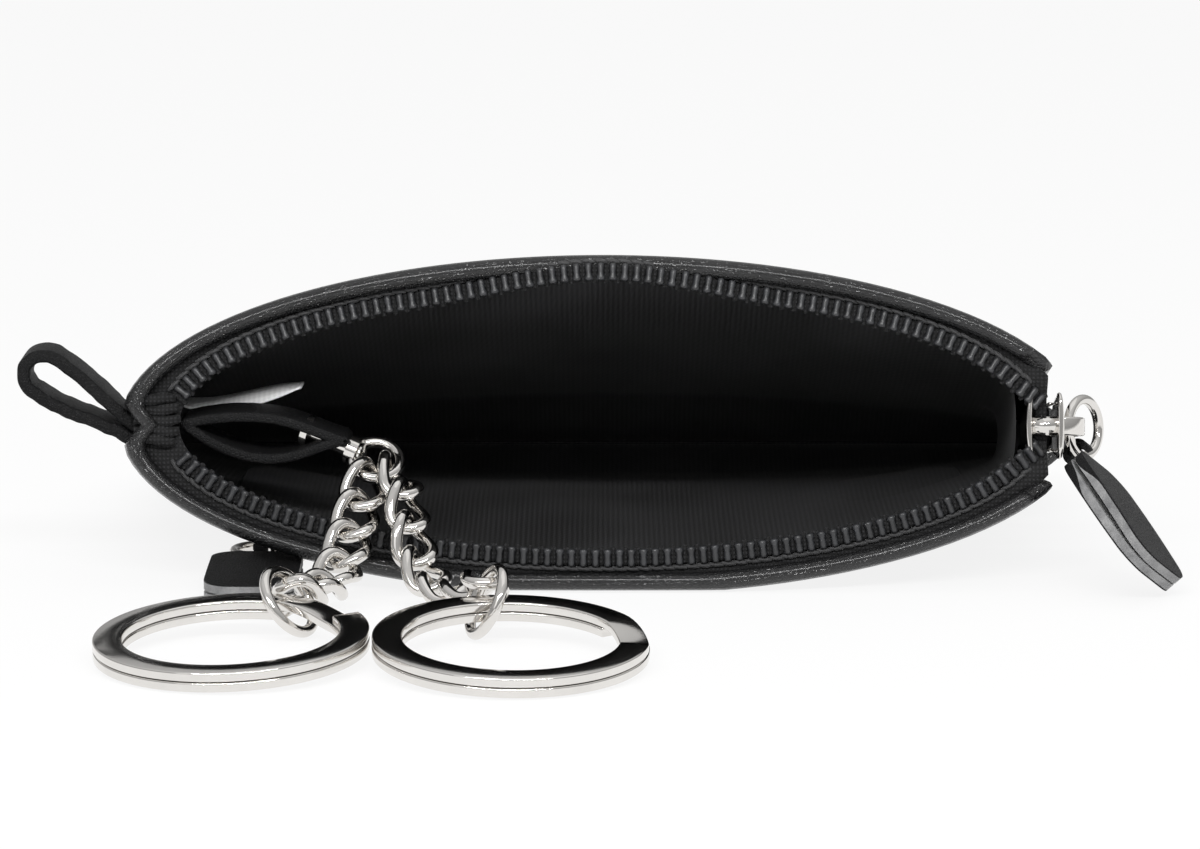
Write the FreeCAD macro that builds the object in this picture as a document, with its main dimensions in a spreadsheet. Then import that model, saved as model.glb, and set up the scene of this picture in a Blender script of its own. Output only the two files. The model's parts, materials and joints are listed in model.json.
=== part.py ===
import FreeCAD, Part
import Sketcher
import math
import os
import re

# A leather zip pouch for keys, lying open on a table. Millimetres, +Z up, the mouth
# faces -Y, the zip closes along the right-hand side, the origin is under its middle.

doc = FreeCAD.newDocument("KeyCase")
sheet = doc.addObject("Spreadsheet::Sheet", "Dimensions")
V = FreeCAD.Vector

SIZES = [
    ("mouth_half_width", 55.5, "half the width of the open mouth"),
    ("mouth_half_height", 19.5, "half the height of the open mouth"),
    ("mouth_tilt", 12.0, "lean of the mouth's plane, in degrees"),
    ("lip_front", 33.0, "from the origin to the lower lip"),
    ("pouch_back", 33.0, "from the origin to the back edge"),
    ("back_half_height", 5.0, "half the thickness at the back edge"),
    ("mid_half_width", 57.5, "half the width further back"),
    ("corner_radius", 11.0, "rounding of the two back corners in plan"),
    ("settle", 0.5, "leather flattened by the table"),
    ("leather", 1.6, "thickness of the panels"),
    ("seam_gap", 0.1, "between the two panels at the seam"),
    ("upper_lining_drop", 0.4, "free space over the upper lining"),
    ("lower_lining_rise", 2.6, "room for the pocket under the lower lining"),
    ("lining", 0.5, "thickness of the lining cloth"),
    ("lining_start", 2.4, "from the lip to the edge of the lining"),
    ("side_recess", 4.3, "how far the right-hand side is cut back for the zip"),
    ("side_length", 32.0, "length of the side opening"),
    ("tape", 0.6, "thickness of the zip tape"),
    ("tape_back", 0.5, "from the lip's plane to the tape"),
    ("tape_clearance", 0.35, "between tape and leather"),
    ("tape_reveal", 2.45, "width of tape inside the lip"),
    ("tooth_pitch", 1.38, "step of the teeth"),
    ("tooth_width", 0.62, "width of a tooth"),
    ("tooth_length", 2.8, "length of a tooth across the tape"),
    ("tooth_height", 1.1, "height of a tooth over the tape"),
    ("tooth_lift", 0.05, "between tooth and tape"),
    ("side_tape_half", 3.4, "half the width of the closed zip"),
    ("zip_slit", 1.65, "half the space between the tapes of a closed zip"),
    ("slider_length", 9.0, "length of a slider"),
    ("slider_front_half", 4.1, "half the width of a slider's wide end"),
    ("slider_back_half", 2.9, "half the width of a slider's narrow end"),
    ("slider_plate", 0.75, "thickness of a slider's plates"),
    ("slider_clearance", 0.35, "between slider and zip"),
    ("slider_start", 1.0, "from the lip's plane to the slider"),
    ("bow_radius", 2.9, "outer radius of a slider's bow"),
    ("pocket_bow_radius", 2.39, "outer radius of the pocket slider's bow"),
    ("bow_thickness", 0.9, "thickness of a slider's bow"),
    ("bow_width", 2.0, "width of a slider's bow"),
    ("pull_ring_radius", 3.3, "middle radius of a pull ring"),
    ("pull_ring_wire", 0.6, "wire radius of a pull ring"),
    ("tab_length", 21.0, "length of a pull tab"),
    ("tab_width", 10.6, "width of a pull tab"),
    ("tab_thickness", 2.4, "thickness of a folded pull tab"),
    ("tab_shoulder", 1.7, "from the ring's hole to a pull tab's shoulders"),
    ("tab_corner", 2.6, "rounding of a pull tab's corners"),
    ("tab_tongue", 1.7, "width of the fold round the pull ring"),
    ("tab_eye_clearance", 0.25, "between pull ring and the fold round it"),
    ("loop_length", 9.2, "from the seam to the centre of the hand loop's end"),
    ("loop_radius", 3.1, "outer radius of the hand loop's end"),
    ("loop_leather", 1.7, "thickness of the hand loop's strip"),
    ("loop_width", 6.0, "width of the hand loop's strip"),
    ("loop_rise", 33.0, "rise of the hand loop, in degrees"),
    ("label_width", 15.6, "width of the care label"),
    ("label_depth", 8.0, "depth of the care label"),
    ("label_sheet", 0.3, "thickness of the care label"),
    ("label_back", 16.5, "from the lip's plane to the care label's far edge"),
    ("label_over", 2.2, "from the seam up to the care label"),
    ("label_side", 11.5, "from the left end of the lining to the care label's middle"),
    ("strap_length", 19.5, "length of the key strap"),
    ("strap_swell", 3.4, "half the height of the key strap's loop"),
    ("strap_leather", 1.3, "thickness of the key strap"),
    ("strap_width", 6.5, "width of the key strap"),
    ("strap_tip_height", 16.286, "height of the key strap's tip over the table"),
    ("tack_length", 3.6, "length of the gathered end of the zip"),
    ("tack_gap", 0.9, "between the leather and the gathered end of the zip"),
    ("pin_radius", 0.9, "radius of the swivel pin"),
    ("pin_head_radius", 1.9, "radius of the swivel pin's head"),
    ("pin_clearance", 0.12, "between swivel pin and its holes"),
    ("eye_radius", 2.8, "middle radius of the swivel eye"),
    ("eye_wire", 0.65, "wire radius of the swivel eye"),
    ("link_half_length", 3.25, "half the length of a link on its wire's middle"),
    ("link_half_width", 2.2, "half the width of a link on its wire's middle"),
    ("link_twist", 0.9, "how far a link's sides leave its plane"),
    ("link_wire", 0.7, "wire radius of a link"),
    ("link_play", 0.16, "between the wires of two links"),
    ("jump_radius", 3.8, "middle radius of a jump ring"),
    ("jump_wire", 0.65, "wire radius of a jump ring"),
    ("split_outer", 15.0, "outer radius of a split ring"),
    ("split_band", 3.2, "width of a split ring's flat wire"),
    ("split_turn", 1.05, "thickness of one turn of a split ring"),
    ("split_groove", 0.12, "groove between the turns of a split ring"),
    ("split_gap", 0.4, "between the two split rings"),
    ("pocket_front", 19.0, "from the origin to the pocket zip"),
    ("pocket_half_length", 43.0, "half the length of the pocket's opening"),
    ("pocket_half_width", 3.3, "half the width of the pocket's opening"),
    ("pocket_slider_at", 36.5, "from the middle to the pocket slider's bow"),
    ("pocket_sheet", 0.4, "thickness of the pocket bag"),
    ("pocket_bag_front", 26.0, "from the origin to the front of the pocket bag"),
    ("pocket_bag_depth", 44.0, "depth of the pocket bag"),
]

for row, (alias, value, note) in enumerate(SIZES, 1):
    sheet.set("A%d" % row, note)
    sheet.set("B%d" % row, str(value))
    sheet.setAlias("B%d" % row, alias)
doc.recompute()

ALIASES = set(alias for alias, value, note in SIZES)


def size(alias):
    return float(sheet.get(alias))


def formula(text):
    # puts the sheet's name before each of its aliases
    def named(word):
        if word.group(0) in ALIASES:
            return "Dimensions." + word.group(0)
        return word.group(0)
    return re.sub(r"[a-z_]+", named, text)


def solid(kind, name, placement=None, **sizes):
    # a primitive whose sizes are formulas on the sheet, or plain numbers
    thing = doc.addObject("Part::" + kind, name)
    for key, value in sizes.items():
        if isinstance(value, str):
            thing.setExpression(key, formula(value))
        else:
            setattr(thing, key, value)
    if placement is not None:
        thing.Placement = placement
    return thing


def cut(name, base, tool):
    thing = doc.addObject("Part::Cut", name)
    thing.Base = base
    thing.Tool = tool
    return thing


def common(name, base, tool):
    thing = doc.addObject("Part::Common", name)
    thing.Base = base
    thing.Tool = tool
    return thing


def fuse(name, pieces):
    thing = doc.addObject("Part::MultiFuse", name)
    thing.Shapes = pieces
    return thing


def feature(name, shape, placement=None):
    thing = doc.addObject("Part::Feature", name)
    thing.Shape = shape
    if placement is not None:
        thing.Placement = placement
    return thing


def axes(origin, x_axis, y_axis, z_axis):
    # a placement from three axes at right angles
    matrix = FreeCAD.Matrix(x_axis.x, y_axis.x, z_axis.x, origin.x,
                            x_axis.y, y_axis.y, z_axis.y, origin.y,
                            x_axis.z, y_axis.z, z_axis.z, origin.z,
                            0, 0, 0, 1)
    return FreeCAD.Placement(matrix)


def unit(vector):
    return V(vector).normalize()


def across(vector, axis):
    # the part of a vector at right angles to an axis, as a unit vector
    return unit(vector - axis * vector.dot(axis))


def sketch_on(name, role):
    # a body with an empty sketch on one of its own planes
    body = doc.addObject("PartDesign::Body", name)
    plane = [item for item in body.Origin.OriginFeatures if item.Role == role][0]
    drawing = body.newObject("Sketcher::SketchObject", name + "Sketch")
    drawing.AttachmentSupport = (plane, [""])
    drawing.MapMode = "FlatFace"
    return body, drawing


def outline(drawing, corners):
    # a closed chain of straight lines, joined at its corners
    first = drawing.GeometryCount
    for index, corner in enumerate(corners):
        after = corners[(index + 1) % len(corners)]
        drawing.addGeometry(Part.LineSegment(V(corner[0], corner[1], 0), V(after[0], after[1], 0)))
    for index in range(len(corners)):
        after = (index + 1) % len(corners)
        drawing.addConstraint(Sketcher.Constraint("Coincident", first + index, 2, first + after, 1))
    return first


def measure(drawing, kind, name, text, value, *where):
    # a dimension of a sketch, bound to the sheet
    index = drawing.addConstraint(Sketcher.Constraint(kind, *where, value))
    drawing.renameConstraint(index, name)
    drawing.setExpression("Constraints." + name, formula(text))


nodes = {}

# The pouch: rings of half-ellipses around a seam plane that slopes from mouth to back.

tilt = math.radians(size("mouth_tilt"))
mouth = V(0, -size("lip_front") + size("mouth_half_height") * math.sin(tilt),
          size("mouth_half_height") * math.cos(tilt) - size("settle"))
back = V(0, size("pouch_back"), size("back_half_height") - size("settle"))
seam_length = (back - mouth).Length
along = unit(back - mouth)
rise = V(0, -along.z, along.y)
slope = math.degrees(math.atan2(along.z, along.y))
EAST = V(1, 0, 0)
UP = V(0, 0, 1)


def seam(distance, height=0.0, x=0.0):
    # a point by its distance from the mouth along the seam plane and its height over it
    return mouth + along * distance + rise * height + EAST * x


def seam_place(distance, height=0.0, x=0.0):
    return FreeCAD.Placement(seam(distance, height, x), FreeCAD.Rotation(EAST, slope))


def width_share(distance):
    # how much of the way from the mouth's width to the width further back
    return min(distance / (0.8 * seam_length), 1.0)


def half_width_at(distance):
    return size("mouth_half_width") + (size("mid_half_width") - size("mouth_half_width")) * width_share(distance)


def shell_section(name, distance, inset, depth, corner):
    # one ellipse across the pouch, a given inset inside the leather's outer face
    lean = size("mouth_tilt") * (1.0 - distance / seam_length)
    share = width_share(distance)
    past = distance - (depth - corner)
    tuck = 0.0
    if past > 0.0:
        tuck = corner - math.sqrt(max(corner * corner - past * past, 0.0))
    half_height = (seam(distance).z + size("settle")) / math.cos(math.radians(lean)) - inset
    width = "mouth_half_width + (mid_half_width - mouth_half_width) * %r - %r" % (share, tuck + inset)
    turn = FreeCAD.Rotation(EAST, 90.0 - lean)
    return solid("Ellipse", name, FreeCAD.Placement(seam(distance), turn),
                 MajorRadius=width, MinorRadius=half_height)


def shell_loft(name, inset, start):
    # the closed form of the pouch at an inset, from a distance behind the lip to its back
    depth = seam_length - inset
    corner = size("corner_radius") - 0.8 * inset
    flank = depth - corner
    stations = [start + (flank - start) * share / 6.0 for share in range(7)]
    stations += [depth - 0.8 * corner, depth - 0.6 * corner, depth - 0.4 * corner, depth - 0.22 * corner,
                 depth - 0.09 * corner, depth]
    rings = []
    for index, distance in enumerate(stations):
        rings.append(shell_section("%sRing%d" % (name, index), distance, inset, depth, corner))
    loft = doc.addObject("Part::Loft", name)
    loft.Sections = rings
    loft.Solid = True
    loft.Ruled = True
    return loft


def half_space(name, upper, gap):
    # everything over or under the seam plane, a little away from it
    height = 60.0
    base = gap / 2.0 if upper else -height - gap / 2.0
    return solid("Box", name, seam_place(-60.0, base, -100.0), Length=200.0, Width=200.0, Height=height)


def side_opening(name, x):
    # the length of the right-hand side that the zip takes
    return solid("Box", name, seam_place(-30.0, -20.0, x), Length=40.0, Width="side_length + 30",
                 Height=40.0)


side_cut = min(size("mouth_half_width"), half_width_at(size("side_length"))) - size("side_recess")
leather = size("leather")
outer = shell_loft("PouchOuter", 0.0, 0.0)
inner = shell_loft("PouchInner", leather, -1.0)
pouch_shell = cut("PouchShell", outer, inner)
open_side = cut("PouchOpenSide", pouch_shell, side_opening("SideOpening", side_cut))
nodes["upper_panel"] = common("UpperPanel", open_side, half_space("UpperSpace", True, size("seam_gap")))
lower_half = common("LowerHalf", open_side, half_space("LowerSpace", False, size("seam_gap")))
table_box = solid("Box", "Table", FreeCAD.Placement(V(-100, -100, -20), FreeCAD.Rotation()),
                  Length=200.0, Width=200.0, Height=20.0)
flat_half = cut("LowerFlat", lower_half, table_box)
pocket_y = -size("pocket_front")
pocket_slot = solid("Box", "PocketSlot",
                    FreeCAD.Placement(V(-size("pocket_half_length"), pocket_y - size("pocket_half_width"), -5),
                                      FreeCAD.Rotation()),
                    Length="2 * pocket_half_length", Width="2 * pocket_half_width", Height=20.0)
nodes["lower_panel"] = cut("LowerPanel", flat_half, pocket_slot)

lining_cut = side_cut - 3.2


def lining_half(name, upper, inset):
    # one half of the lining bag, open along the side zip
    begin = size("lining_start")
    bag_outer = shell_loft(name + "Outer", inset, begin)
    bag_inner = shell_loft(name + "Inner", inset + size("lining"), begin - 1.0)
    bag = cut(name + "Bag", bag_outer, bag_inner)
    bag_side = cut(name + "Side", bag, side_opening(name + "Opening", lining_cut))
    return common(name, bag_side, half_space(name + "Space", upper, 2.0 * size("seam_gap")))


upper_inset = leather + size("upper_lining_drop")
lower_inset = leather + size("lower_lining_rise")
nodes["upper_lining"] = lining_half("UpperLining", True, upper_inset)
nodes["lower_lining"] = lining_half("LowerLining", False, lower_inset)

# The pocket bag on the inside of the lower panel.

bag_inset = lower_inset - 0.4 - size("pocket_sheet")
bag_outer = shell_loft("PocketOuter", bag_inset, 4.5)
bag_inner = shell_loft("PocketInner", bag_inset + size("pocket_sheet"), 3.5)
bag_shell = cut("PocketShell", bag_outer, bag_inner)
bag_half = common("PocketHalf", bag_shell, half_space("PocketSpace", False, 14.0))
bag_box = solid("Box", "PocketBox",
                FreeCAD.Placement(V(-size("pocket_half_length") - 1, -size("pocket_bag_front"), -5), FreeCAD.Rotation()),
                Length="2 * pocket_half_length + 2", Width="pocket_bag_depth", Height=2.0 * size("mouth_half_height"))
nodes["pocket_bag"] = common("PocketBag", bag_half, bag_box)

# The zip at the mouth: tape as a band inside the lip, teeth as a row along its edge.

lip_turn = FreeCAD.Rotation(EAST, 90.0 - size("mouth_tilt"))
lip_up = V(0, math.sin(tilt), math.cos(tilt))
lip_in = V(0, math.cos(tilt), -math.sin(tilt))
right_end = side_cut - 4.2
left_tack_half = 2.0


def lip_prism(name, width, height):
    # an elliptic plate in the mouth's plane
    ring = solid("Ellipse", name + "Ring", FreeCAD.Placement(mouth + lip_in * size("tape_back"), lip_turn),
                 MajorRadius=width, MinorRadius=height)
    plate = doc.addObject("Part::Extrusion", name)
    plate.Base = ring
    plate.DirMode = "Custom"
    plate.Dir = lip_in
    plate.Solid = True
    plate.setExpression("LengthFwd", formula("tape"))
    return plate


tape_width = "mouth_half_width - leather - tape_clearance"
tape_height = "mouth_half_height - leather - tape_clearance"
tape_outer = lip_prism("TapeOuter", tape_width, tape_height)
tape_inner = lip_prism("TapeInner", tape_width + " - 1.6 * tape_reveal", tape_height + " - tape_reveal")
tape_ring = cut("TapeRing", tape_outer, tape_inner)
tape_end = solid("Box", "TapeEnd", FreeCAD.Placement(V(right_end, -60, -10), FreeCAD.Rotation()),
                 Length=30.0, Width=60.0, Height=70.0)
tape_band = cut("TapeBand", tape_ring, tape_end)
nodes["upper_zip_tape"] = common("UpperZipTape", tape_band,
                                 half_space("UpperTapeSpace", True, 2.0 * left_tack_half))
nodes["lower_zip_tape"] = common("LowerZipTape", tape_band,
                                 half_space("LowerTapeSpace", False, 2.0 * left_tack_half))


def tooth():
    # one tooth: Y across the tape, Z off the tape, X along the row, with a sloped head
    wide = size("tooth_width")
    length = size("tooth_length")
    high = size("tooth_height")
    corners = [(-length / 2, 0.0), (length / 2, 0.0), (length / 2, 0.6 * high),
               (0.3 * length, high), (-0.3 * length, high), (-length / 2, 0.6 * high)]
    points = [V(-wide / 2, y, z) for y, z in corners]
    face = Part.Face(Part.makePolygon(points + points[:1]))
    return face.extrude(V(wide, 0, 0))


row_width = size("mouth_half_width") - leather - size("tape_clearance") - 1.55 * size("tape_reveal")
row_height = size("mouth_half_height") - leather - size("tape_clearance") - 0.8 * size("tape_reveal")


def lip_teeth(upper):
    # teeth at even steps along the half-ellipse of one lip
    side = 1.0 if upper else -1.0
    pieces = []
    steps = 4000
    travelled = 0.0
    wanted = 0.5 * size("tooth_pitch")
    before = None
    for index in range(steps + 1):
        angle = math.pi * index / steps
        x = row_width * math.cos(angle)
        height = side * row_height * math.sin(angle)
        if before is not None:
            travelled += math.hypot(x - before[0], height - before[1])
        before = (x, height)
        if travelled < wanted:
            continue
        wanted += size("tooth_pitch")
        if x > right_end - 1.8 or x < -row_width + 1.6:
            continue
        run = unit(EAST * (-row_width * math.sin(angle)) + lip_up * (side * row_height * math.cos(angle)))
        out = lip_in * -1.0
        spread = out.cross(run)
        spot = mouth + EAST * x + lip_up * height
        spot = spot + lip_in * (size("tape_back") - size("tooth_lift"))
        piece = tooth()
        piece.Placement = axes(spot, run, spread, out)
        pieces.append(piece)
    return Part.makeCompound(pieces)


nodes["upper_zip_teeth"] = feature("UpperZipTeeth", lip_teeth(True))
nodes["lower_zip_teeth"] = feature("LowerZipTeeth", lip_teeth(False))
tack_end = size("mouth_half_width") - leather - size("tack_gap")
nodes["zip_end_tack"] = solid("Cylinder", "ZipEndTack",
                              axes(mouth + EAST * (size("tack_length") - tack_end) + lip_in * 0.6,
                                   lip_up, lip_in, EAST * -1.0),
                              Radius=left_tack_half - 0.3, Height="tack_length")

# The side length of the zip, closed behind the slider.

zip_x = side_cut - 1.0
side_begin = size("slider_start") + 0.6 * size("slider_length")
side_end = size("side_length") - 0.6
strips = []
for index, base in enumerate((size("zip_slit"), -size("side_tape_half"))):
    strips.append(solid("Box", "SideTape%d" % index, seam_place(side_begin, base, zip_x), Length="tape",
                        Width=side_end - side_begin, Height="side_tape_half - zip_slit"))
nodes["side_zip_tape"] = doc.addObject("Part::Compound", "SideZipTape")
nodes["side_zip_tape"].Links = strips


def side_teeth():
    # two rows that meet in the seam plane, half a step apart
    pieces = []
    stop_at = size("side_length") - 4.2
    reach = 0.5 * size("tooth_length") - 0.45
    for row, side in enumerate((1.0, -1.0)):
        distance = side_begin + 0.5 * size("tooth_pitch") * (1 + row)
        while distance < stop_at:
            spot = seam(distance, side * reach, zip_x + size("tape") + size("tooth_lift"))
            piece = tooth()
            piece.Placement = axes(spot, along, rise, EAST)
            pieces.append(piece)
            distance += size("tooth_pitch")
    return Part.makeCompound(pieces)


nodes["side_zip_teeth"] = feature("SideZipTeeth", side_teeth())
nodes["zip_bottom_stop"] = solid("Box", "ZipBottomStop",
                                 seam_place(side_end - 2.6, -2.1, zip_x + size("tape") + size("tooth_lift")),
                                 Length="1.2 * tooth_height", Width=2.0, Height=4.2)

# A slider: two tapering plates, a wedge between them, side flanges and a bow on its outer
# plate. Its own X points off the zip, its Y from the wide end to the narrow one.


def slider(name, place, zip_gap, bow):
    plate = size("slider_plate")
    length = size("slider_length")
    front = size("slider_front_half")
    rear = size("slider_back_half")
    low = -size("slider_clearance")
    high = zip_gap + size("slider_clearance")

    def trapezoid(label, x0, x1, y0, y1, half0, half1):
        wedge = doc.addObject("Part::Wedge", name + label)
        wedge.Xmin = x0
        wedge.X2min = x0
        wedge.Xmax = x1
        wedge.X2max = x1
        wedge.Ymin = y0
        wedge.Ymax = y1
        wedge.Zmin = -half0
        wedge.Zmax = half0
        wedge.Z2min = -half1
        wedge.Z2max = half1
        wedge.Placement = place
        return wedge

    inside = trapezoid("Inside", low - plate, low, 0.0, length, front, rear)
    outside = trapezoid("Outside", high, high + plate, 0.0, length, front, rear)
    inside.setExpression("Ymax", formula("slider_length"))
    outside.setExpression("Ymax", formula("slider_length"))
    divider = trapezoid("Divider", low - 0.1, high + 0.1, 0.3, 0.5 * length, size("zip_slit") - 0.2, 0.25)
    parts = [inside, outside, divider]
    rim = 0.4
    for side in (1.0, -1.0):
        flange = doc.addObject("Part::Box", name + ("FlangeA" if side > 0 else "FlangeB"))
        base = rear - rim if side > 0 else -rear
        flange.Length = high - size("tape") - 0.3 + 0.1
        flange.Width = 0.45 * length
        flange.Height = rim
        shift = V(size("tape") + 0.3, 0.55 * length, base)
        flange.Placement = place.multiply(FreeCAD.Placement(shift, FreeCAD.Rotation()))
        parts.append(flange)
    middle = V(high + plate - 0.05, 0.5 * length, -size("bow_width") / 2)
    bow_place = place.multiply(FreeCAD.Placement(middle, FreeCAD.Rotation()))
    bow_full = solid("Cylinder", name + "BowFull", bow_place, Radius=bow, Height="bow_width")
    bow_hole = solid("Cylinder", name + "BowHole", bow_place, Radius=bow + " - bow_thickness",
                     Height="bow_width")
    bow_ring = cut(name + "BowRing", bow_full, bow_hole)
    keep_place = place.multiply(FreeCAD.Placement(V(high + plate - 0.1, -2.0, -5.0), FreeCAD.Rotation()))
    keep = solid("Box", name + "BowKeep", keep_place, Length=10.0, Width=20.0, Height=10.0)
    parts.append(common(name + "Bow", bow_ring, keep))
    return fuse(name, parts)


def bow_point(place, zip_gap, bow):
    # the middle of the room under a slider's bow
    reach = zip_gap + size("slider_clearance") + size("slider_plate")
    reach += 0.5 * (size(bow) - size("bow_thickness"))
    return place.multVec(V(reach, 0.5 * size("slider_length"), 0))


def pull_ring(name, centre, normal):
    # a wire ring around a centre
    side = across(EAST if abs(normal.x) < 0.8 else UP, normal)
    place = axes(centre, side, normal.cross(side), normal)
    return solid("Torus", name, place, Radius1="pull_ring_radius", Radius2="pull_ring_wire")


def pull_tab(name, eye, length_way, width_way):
    # a folded leather tab: X along it from the ring's wire, Y across it, Z through it
    body, drawing = sketch_on(name, "XZ_Plane")
    thick = size("tab_thickness")
    reach = size("tab_length")
    eye_radius = size("pull_ring_wire") + size("tab_eye_clearance")
    lead = eye_radius + 0.5
    first = outline(drawing, [(-lead, -thick / 2), (reach, -thick / 2), (reach, thick / 2), (-lead, thick / 2)])
    measure(drawing, "DistanceY", "thickness", "tab_thickness", thick, first + 1, 1, first + 1, 2)
    drawing.addGeometry(Part.Circle(V(0, 0, 0), UP, eye_radius))
    shoulder = eye_radius + size("tab_shoulder")
    fold = 0.3
    slit = (shoulder + size("tab_corner") + fold, reach - size("tab_corner") - fold)
    outline(drawing, [(slit[0], -fold / 2), (slit[1], -fold / 2), (slit[1], fold / 2), (slit[0], fold / 2)])
    pad = body.newObject("PartDesign::Pad", name + "Pad")
    pad.Profile = drawing
    pad.Midplane = True
    pad.setExpression("Length", formula("tab_width"))
    plane = [item for item in body.Origin.OriginFeatures if item.Role == "XY_Plane"][0]
    notches = body.newObject("Sketcher::SketchObject", name + "NotchSketch")
    notches.AttachmentSupport = (plane, [""])
    notches.MapMode = "FlatFace"
    tongue = size("tab_tongue") / 2
    for side in (1.0, -1.0):
        outline(notches, [(-lead - 1, side * tongue), (shoulder, side * tongue),
                          (shoulder, side * size("tab_width")), (-lead - 1, side * size("tab_width"))])
    notch = body.newObject("PartDesign::Pocket", name + "Notch")
    notch.Profile = notches
    notch.Type = 1
    notch.Midplane = True
    doc.recompute()
    corner_edges = []
    for index, edge in enumerate(notch.Shape.Edges, 1):
        ends = [vertex.Point for vertex in edge.Vertexes]
        if len(ends) == 2 and abs(ends[0].z - ends[1].z) > 0.9 * thick and abs(ends[0].y) > 2 * tongue:
            corner_edges.append("Edge%d" % index)
    rounding = body.newObject("PartDesign::Fillet", name + "Corners")
    rounding.Base = (notch, corner_edges)
    rounding.setExpression("Radius", formula("tab_corner"))
    body.Placement = axes(eye, length_way, width_way, length_way.cross(width_way))
    return body


zip_gap = size("tape") + size("tooth_lift") + size("tooth_height")
slider_place = seam_place(size("slider_start"), 0.0, zip_x)
nodes["zip_slider"] = slider("ZipSlider", slider_place, zip_gap, "bow_radius")

# The pull hangs from the bow, leans forward and rests one corner on the table.

bow = bow_point(slider_place, zip_gap, "bow_radius")
tab_way = unit(V(0.383, -0.763, -0.519))
tab_cross = across(V(-0.561, -0.638, 0.525), tab_way)
ring_normal = unit(tab_cross.cross(rise))
ring_side = rise.cross(ring_normal)
if ring_side.x < 0:
    ring_side = ring_side * -1.0
ring_centre = bow + ring_side * size("pull_ring_radius")
hang = across(UP * -1.0, tab_cross)
hang = across(hang, ring_normal)
hang = across(hang, tab_cross)
tab_eye = ring_centre + hang * size("pull_ring_radius")
nodes["pull_ring"] = pull_ring("PullRing", ring_centre, ring_normal)
nodes["pull_tab"] = pull_tab("PullTab", tab_eye, tab_way, tab_cross)

# The zip of the pocket under the pouch, on a circle about an axis far over it. The circle meets the
# underside in the middle and at the pocket's slider.

pocket_distance = (pocket_y - mouth.y) / along.y
pocket_drop = (seam(pocket_distance).z + size("settle")) * (
    1.0 - math.sqrt(1.0 - (size("pocket_slider_at") / half_width_at(pocket_distance)) ** 2))
pocket_radius = (size("pocket_slider_at") ** 2 + pocket_drop ** 2) / (2.0 * pocket_drop)
pocket_centre = V(0, pocket_y, pocket_radius - size("settle"))
POCKET_TAPE_DEPTH = 1.0


def pocket_place(angle, depth):
    # a frame on the pocket zip: X off the zip (down), Y to the right along it, Z towards the back
    turn = math.radians(angle)
    down = V(math.sin(turn), 0, -math.cos(turn))
    right = V(math.cos(turn), 0, math.sin(turn))
    spot = pocket_centre + down * (pocket_radius - depth)
    return axes(spot, down, right, down.cross(right))


def pocket_band(name, depth, thickness, half_length, half_width):
    # a strip bent on the circle of the pocket zip
    turn = FreeCAD.Rotation(V(1, 0, 0), -90)
    base = V(0, pocket_y - half_width, pocket_centre.z)
    full = solid("Cylinder", name + "Full", FreeCAD.Placement(base, turn),
                 Radius=pocket_radius - depth, Height=2.0 * half_width)
    hollow = solid("Cylinder", name + "Hollow", FreeCAD.Placement(base, turn),
                   Radius=pocket_radius - depth - thickness, Height=2.0 * half_width)
    band = cut(name + "Band", full, hollow)
    window = solid("Box", name + "Window",
                   FreeCAD.Placement(V(-half_length, pocket_y - 20, -10), FreeCAD.Rotation()),
                   Length=2.0 * half_length, Width=40.0, Height=40.0)
    return common(name, band, window)


pocket_whole = pocket_band("PocketZipWhole", POCKET_TAPE_DEPTH, 0.5,
                           size("pocket_half_length") - 0.2, size("pocket_half_width") - 0.2)
pocket_split = solid("Box", "PocketSplit",
                     FreeCAD.Placement(V(-100, pocket_y - size("zip_slit"), -10), FreeCAD.Rotation()),
                     Length=200.0, Width="2 * zip_slit", Height=40.0)
nodes["pocket_zip_tape"] = cut("PocketZipTape", pocket_whole, pocket_split)
pocket_step = math.degrees(size("tooth_pitch") / pocket_radius)
bow_angle = -math.degrees(math.asin(size("pocket_slider_at") / pocket_radius))
half_slider = math.degrees(0.5 * size("slider_length") / pocket_radius)


def pocket_teeth():
    # the closed chain of the pocket zip, from the slider to the far stop
    pieces = []
    reach = 0.5 * size("tooth_length") - 0.45
    limit = math.degrees((size("pocket_half_length") - 4.0) / pocket_radius)
    for row, side in enumerate((1.0, -1.0)):
        angle = bow_angle + 0.2 * half_slider + 0.5 * pocket_step * (1 + row)
        while angle < limit:
            frame = pocket_place(angle, POCKET_TAPE_DEPTH - size("tooth_lift"))
            piece = tooth()
            low = axes(frame.Base + frame.Rotation.multVec(V(0, 0, side * reach)),
                       frame.Rotation.multVec(V(0, 1, 0)), frame.Rotation.multVec(V(0, 0, 1)),
                       frame.Rotation.multVec(V(1, 0, 0)))
            piece.Placement = low
            pieces.append(piece)
            angle += pocket_step
    return Part.makeCompound(pieces)


nodes["pocket_zip_teeth"] = feature("PocketZipTeeth", pocket_teeth())
stop_angle = math.degrees((size("pocket_half_length") - 3.4) / pocket_radius)
stop_frame = pocket_place(stop_angle, POCKET_TAPE_DEPTH - size("tooth_lift"))
nodes["pocket_zip_stop"] = solid("Box", "PocketZipStop",
                                 stop_frame.multiply(FreeCAD.Placement(V(0, 0, -2.1), FreeCAD.Rotation())),
                                 Length="0.9 * tooth_height", Width=1.8, Height=4.2)
pocket_slider_place = pocket_place(bow_angle, POCKET_TAPE_DEPTH + 0.5)
pocket_slider_place = pocket_slider_place.multiply(
    FreeCAD.Placement(V(0, -0.5 * size("slider_length"), 0), FreeCAD.Rotation()))
pocket_gap = 0.5 + size("tooth_lift") + size("tooth_height")
nodes["pocket_slider"] = slider("PocketSlider", pocket_slider_place, pocket_gap, "pocket_bow_radius")
pocket_bow = bow_point(pocket_slider_place, pocket_gap, "pocket_bow_radius")
pocket_ring_centre = pocket_bow + V(0.2 - size("pull_ring_radius"), 0, 0)
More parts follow.
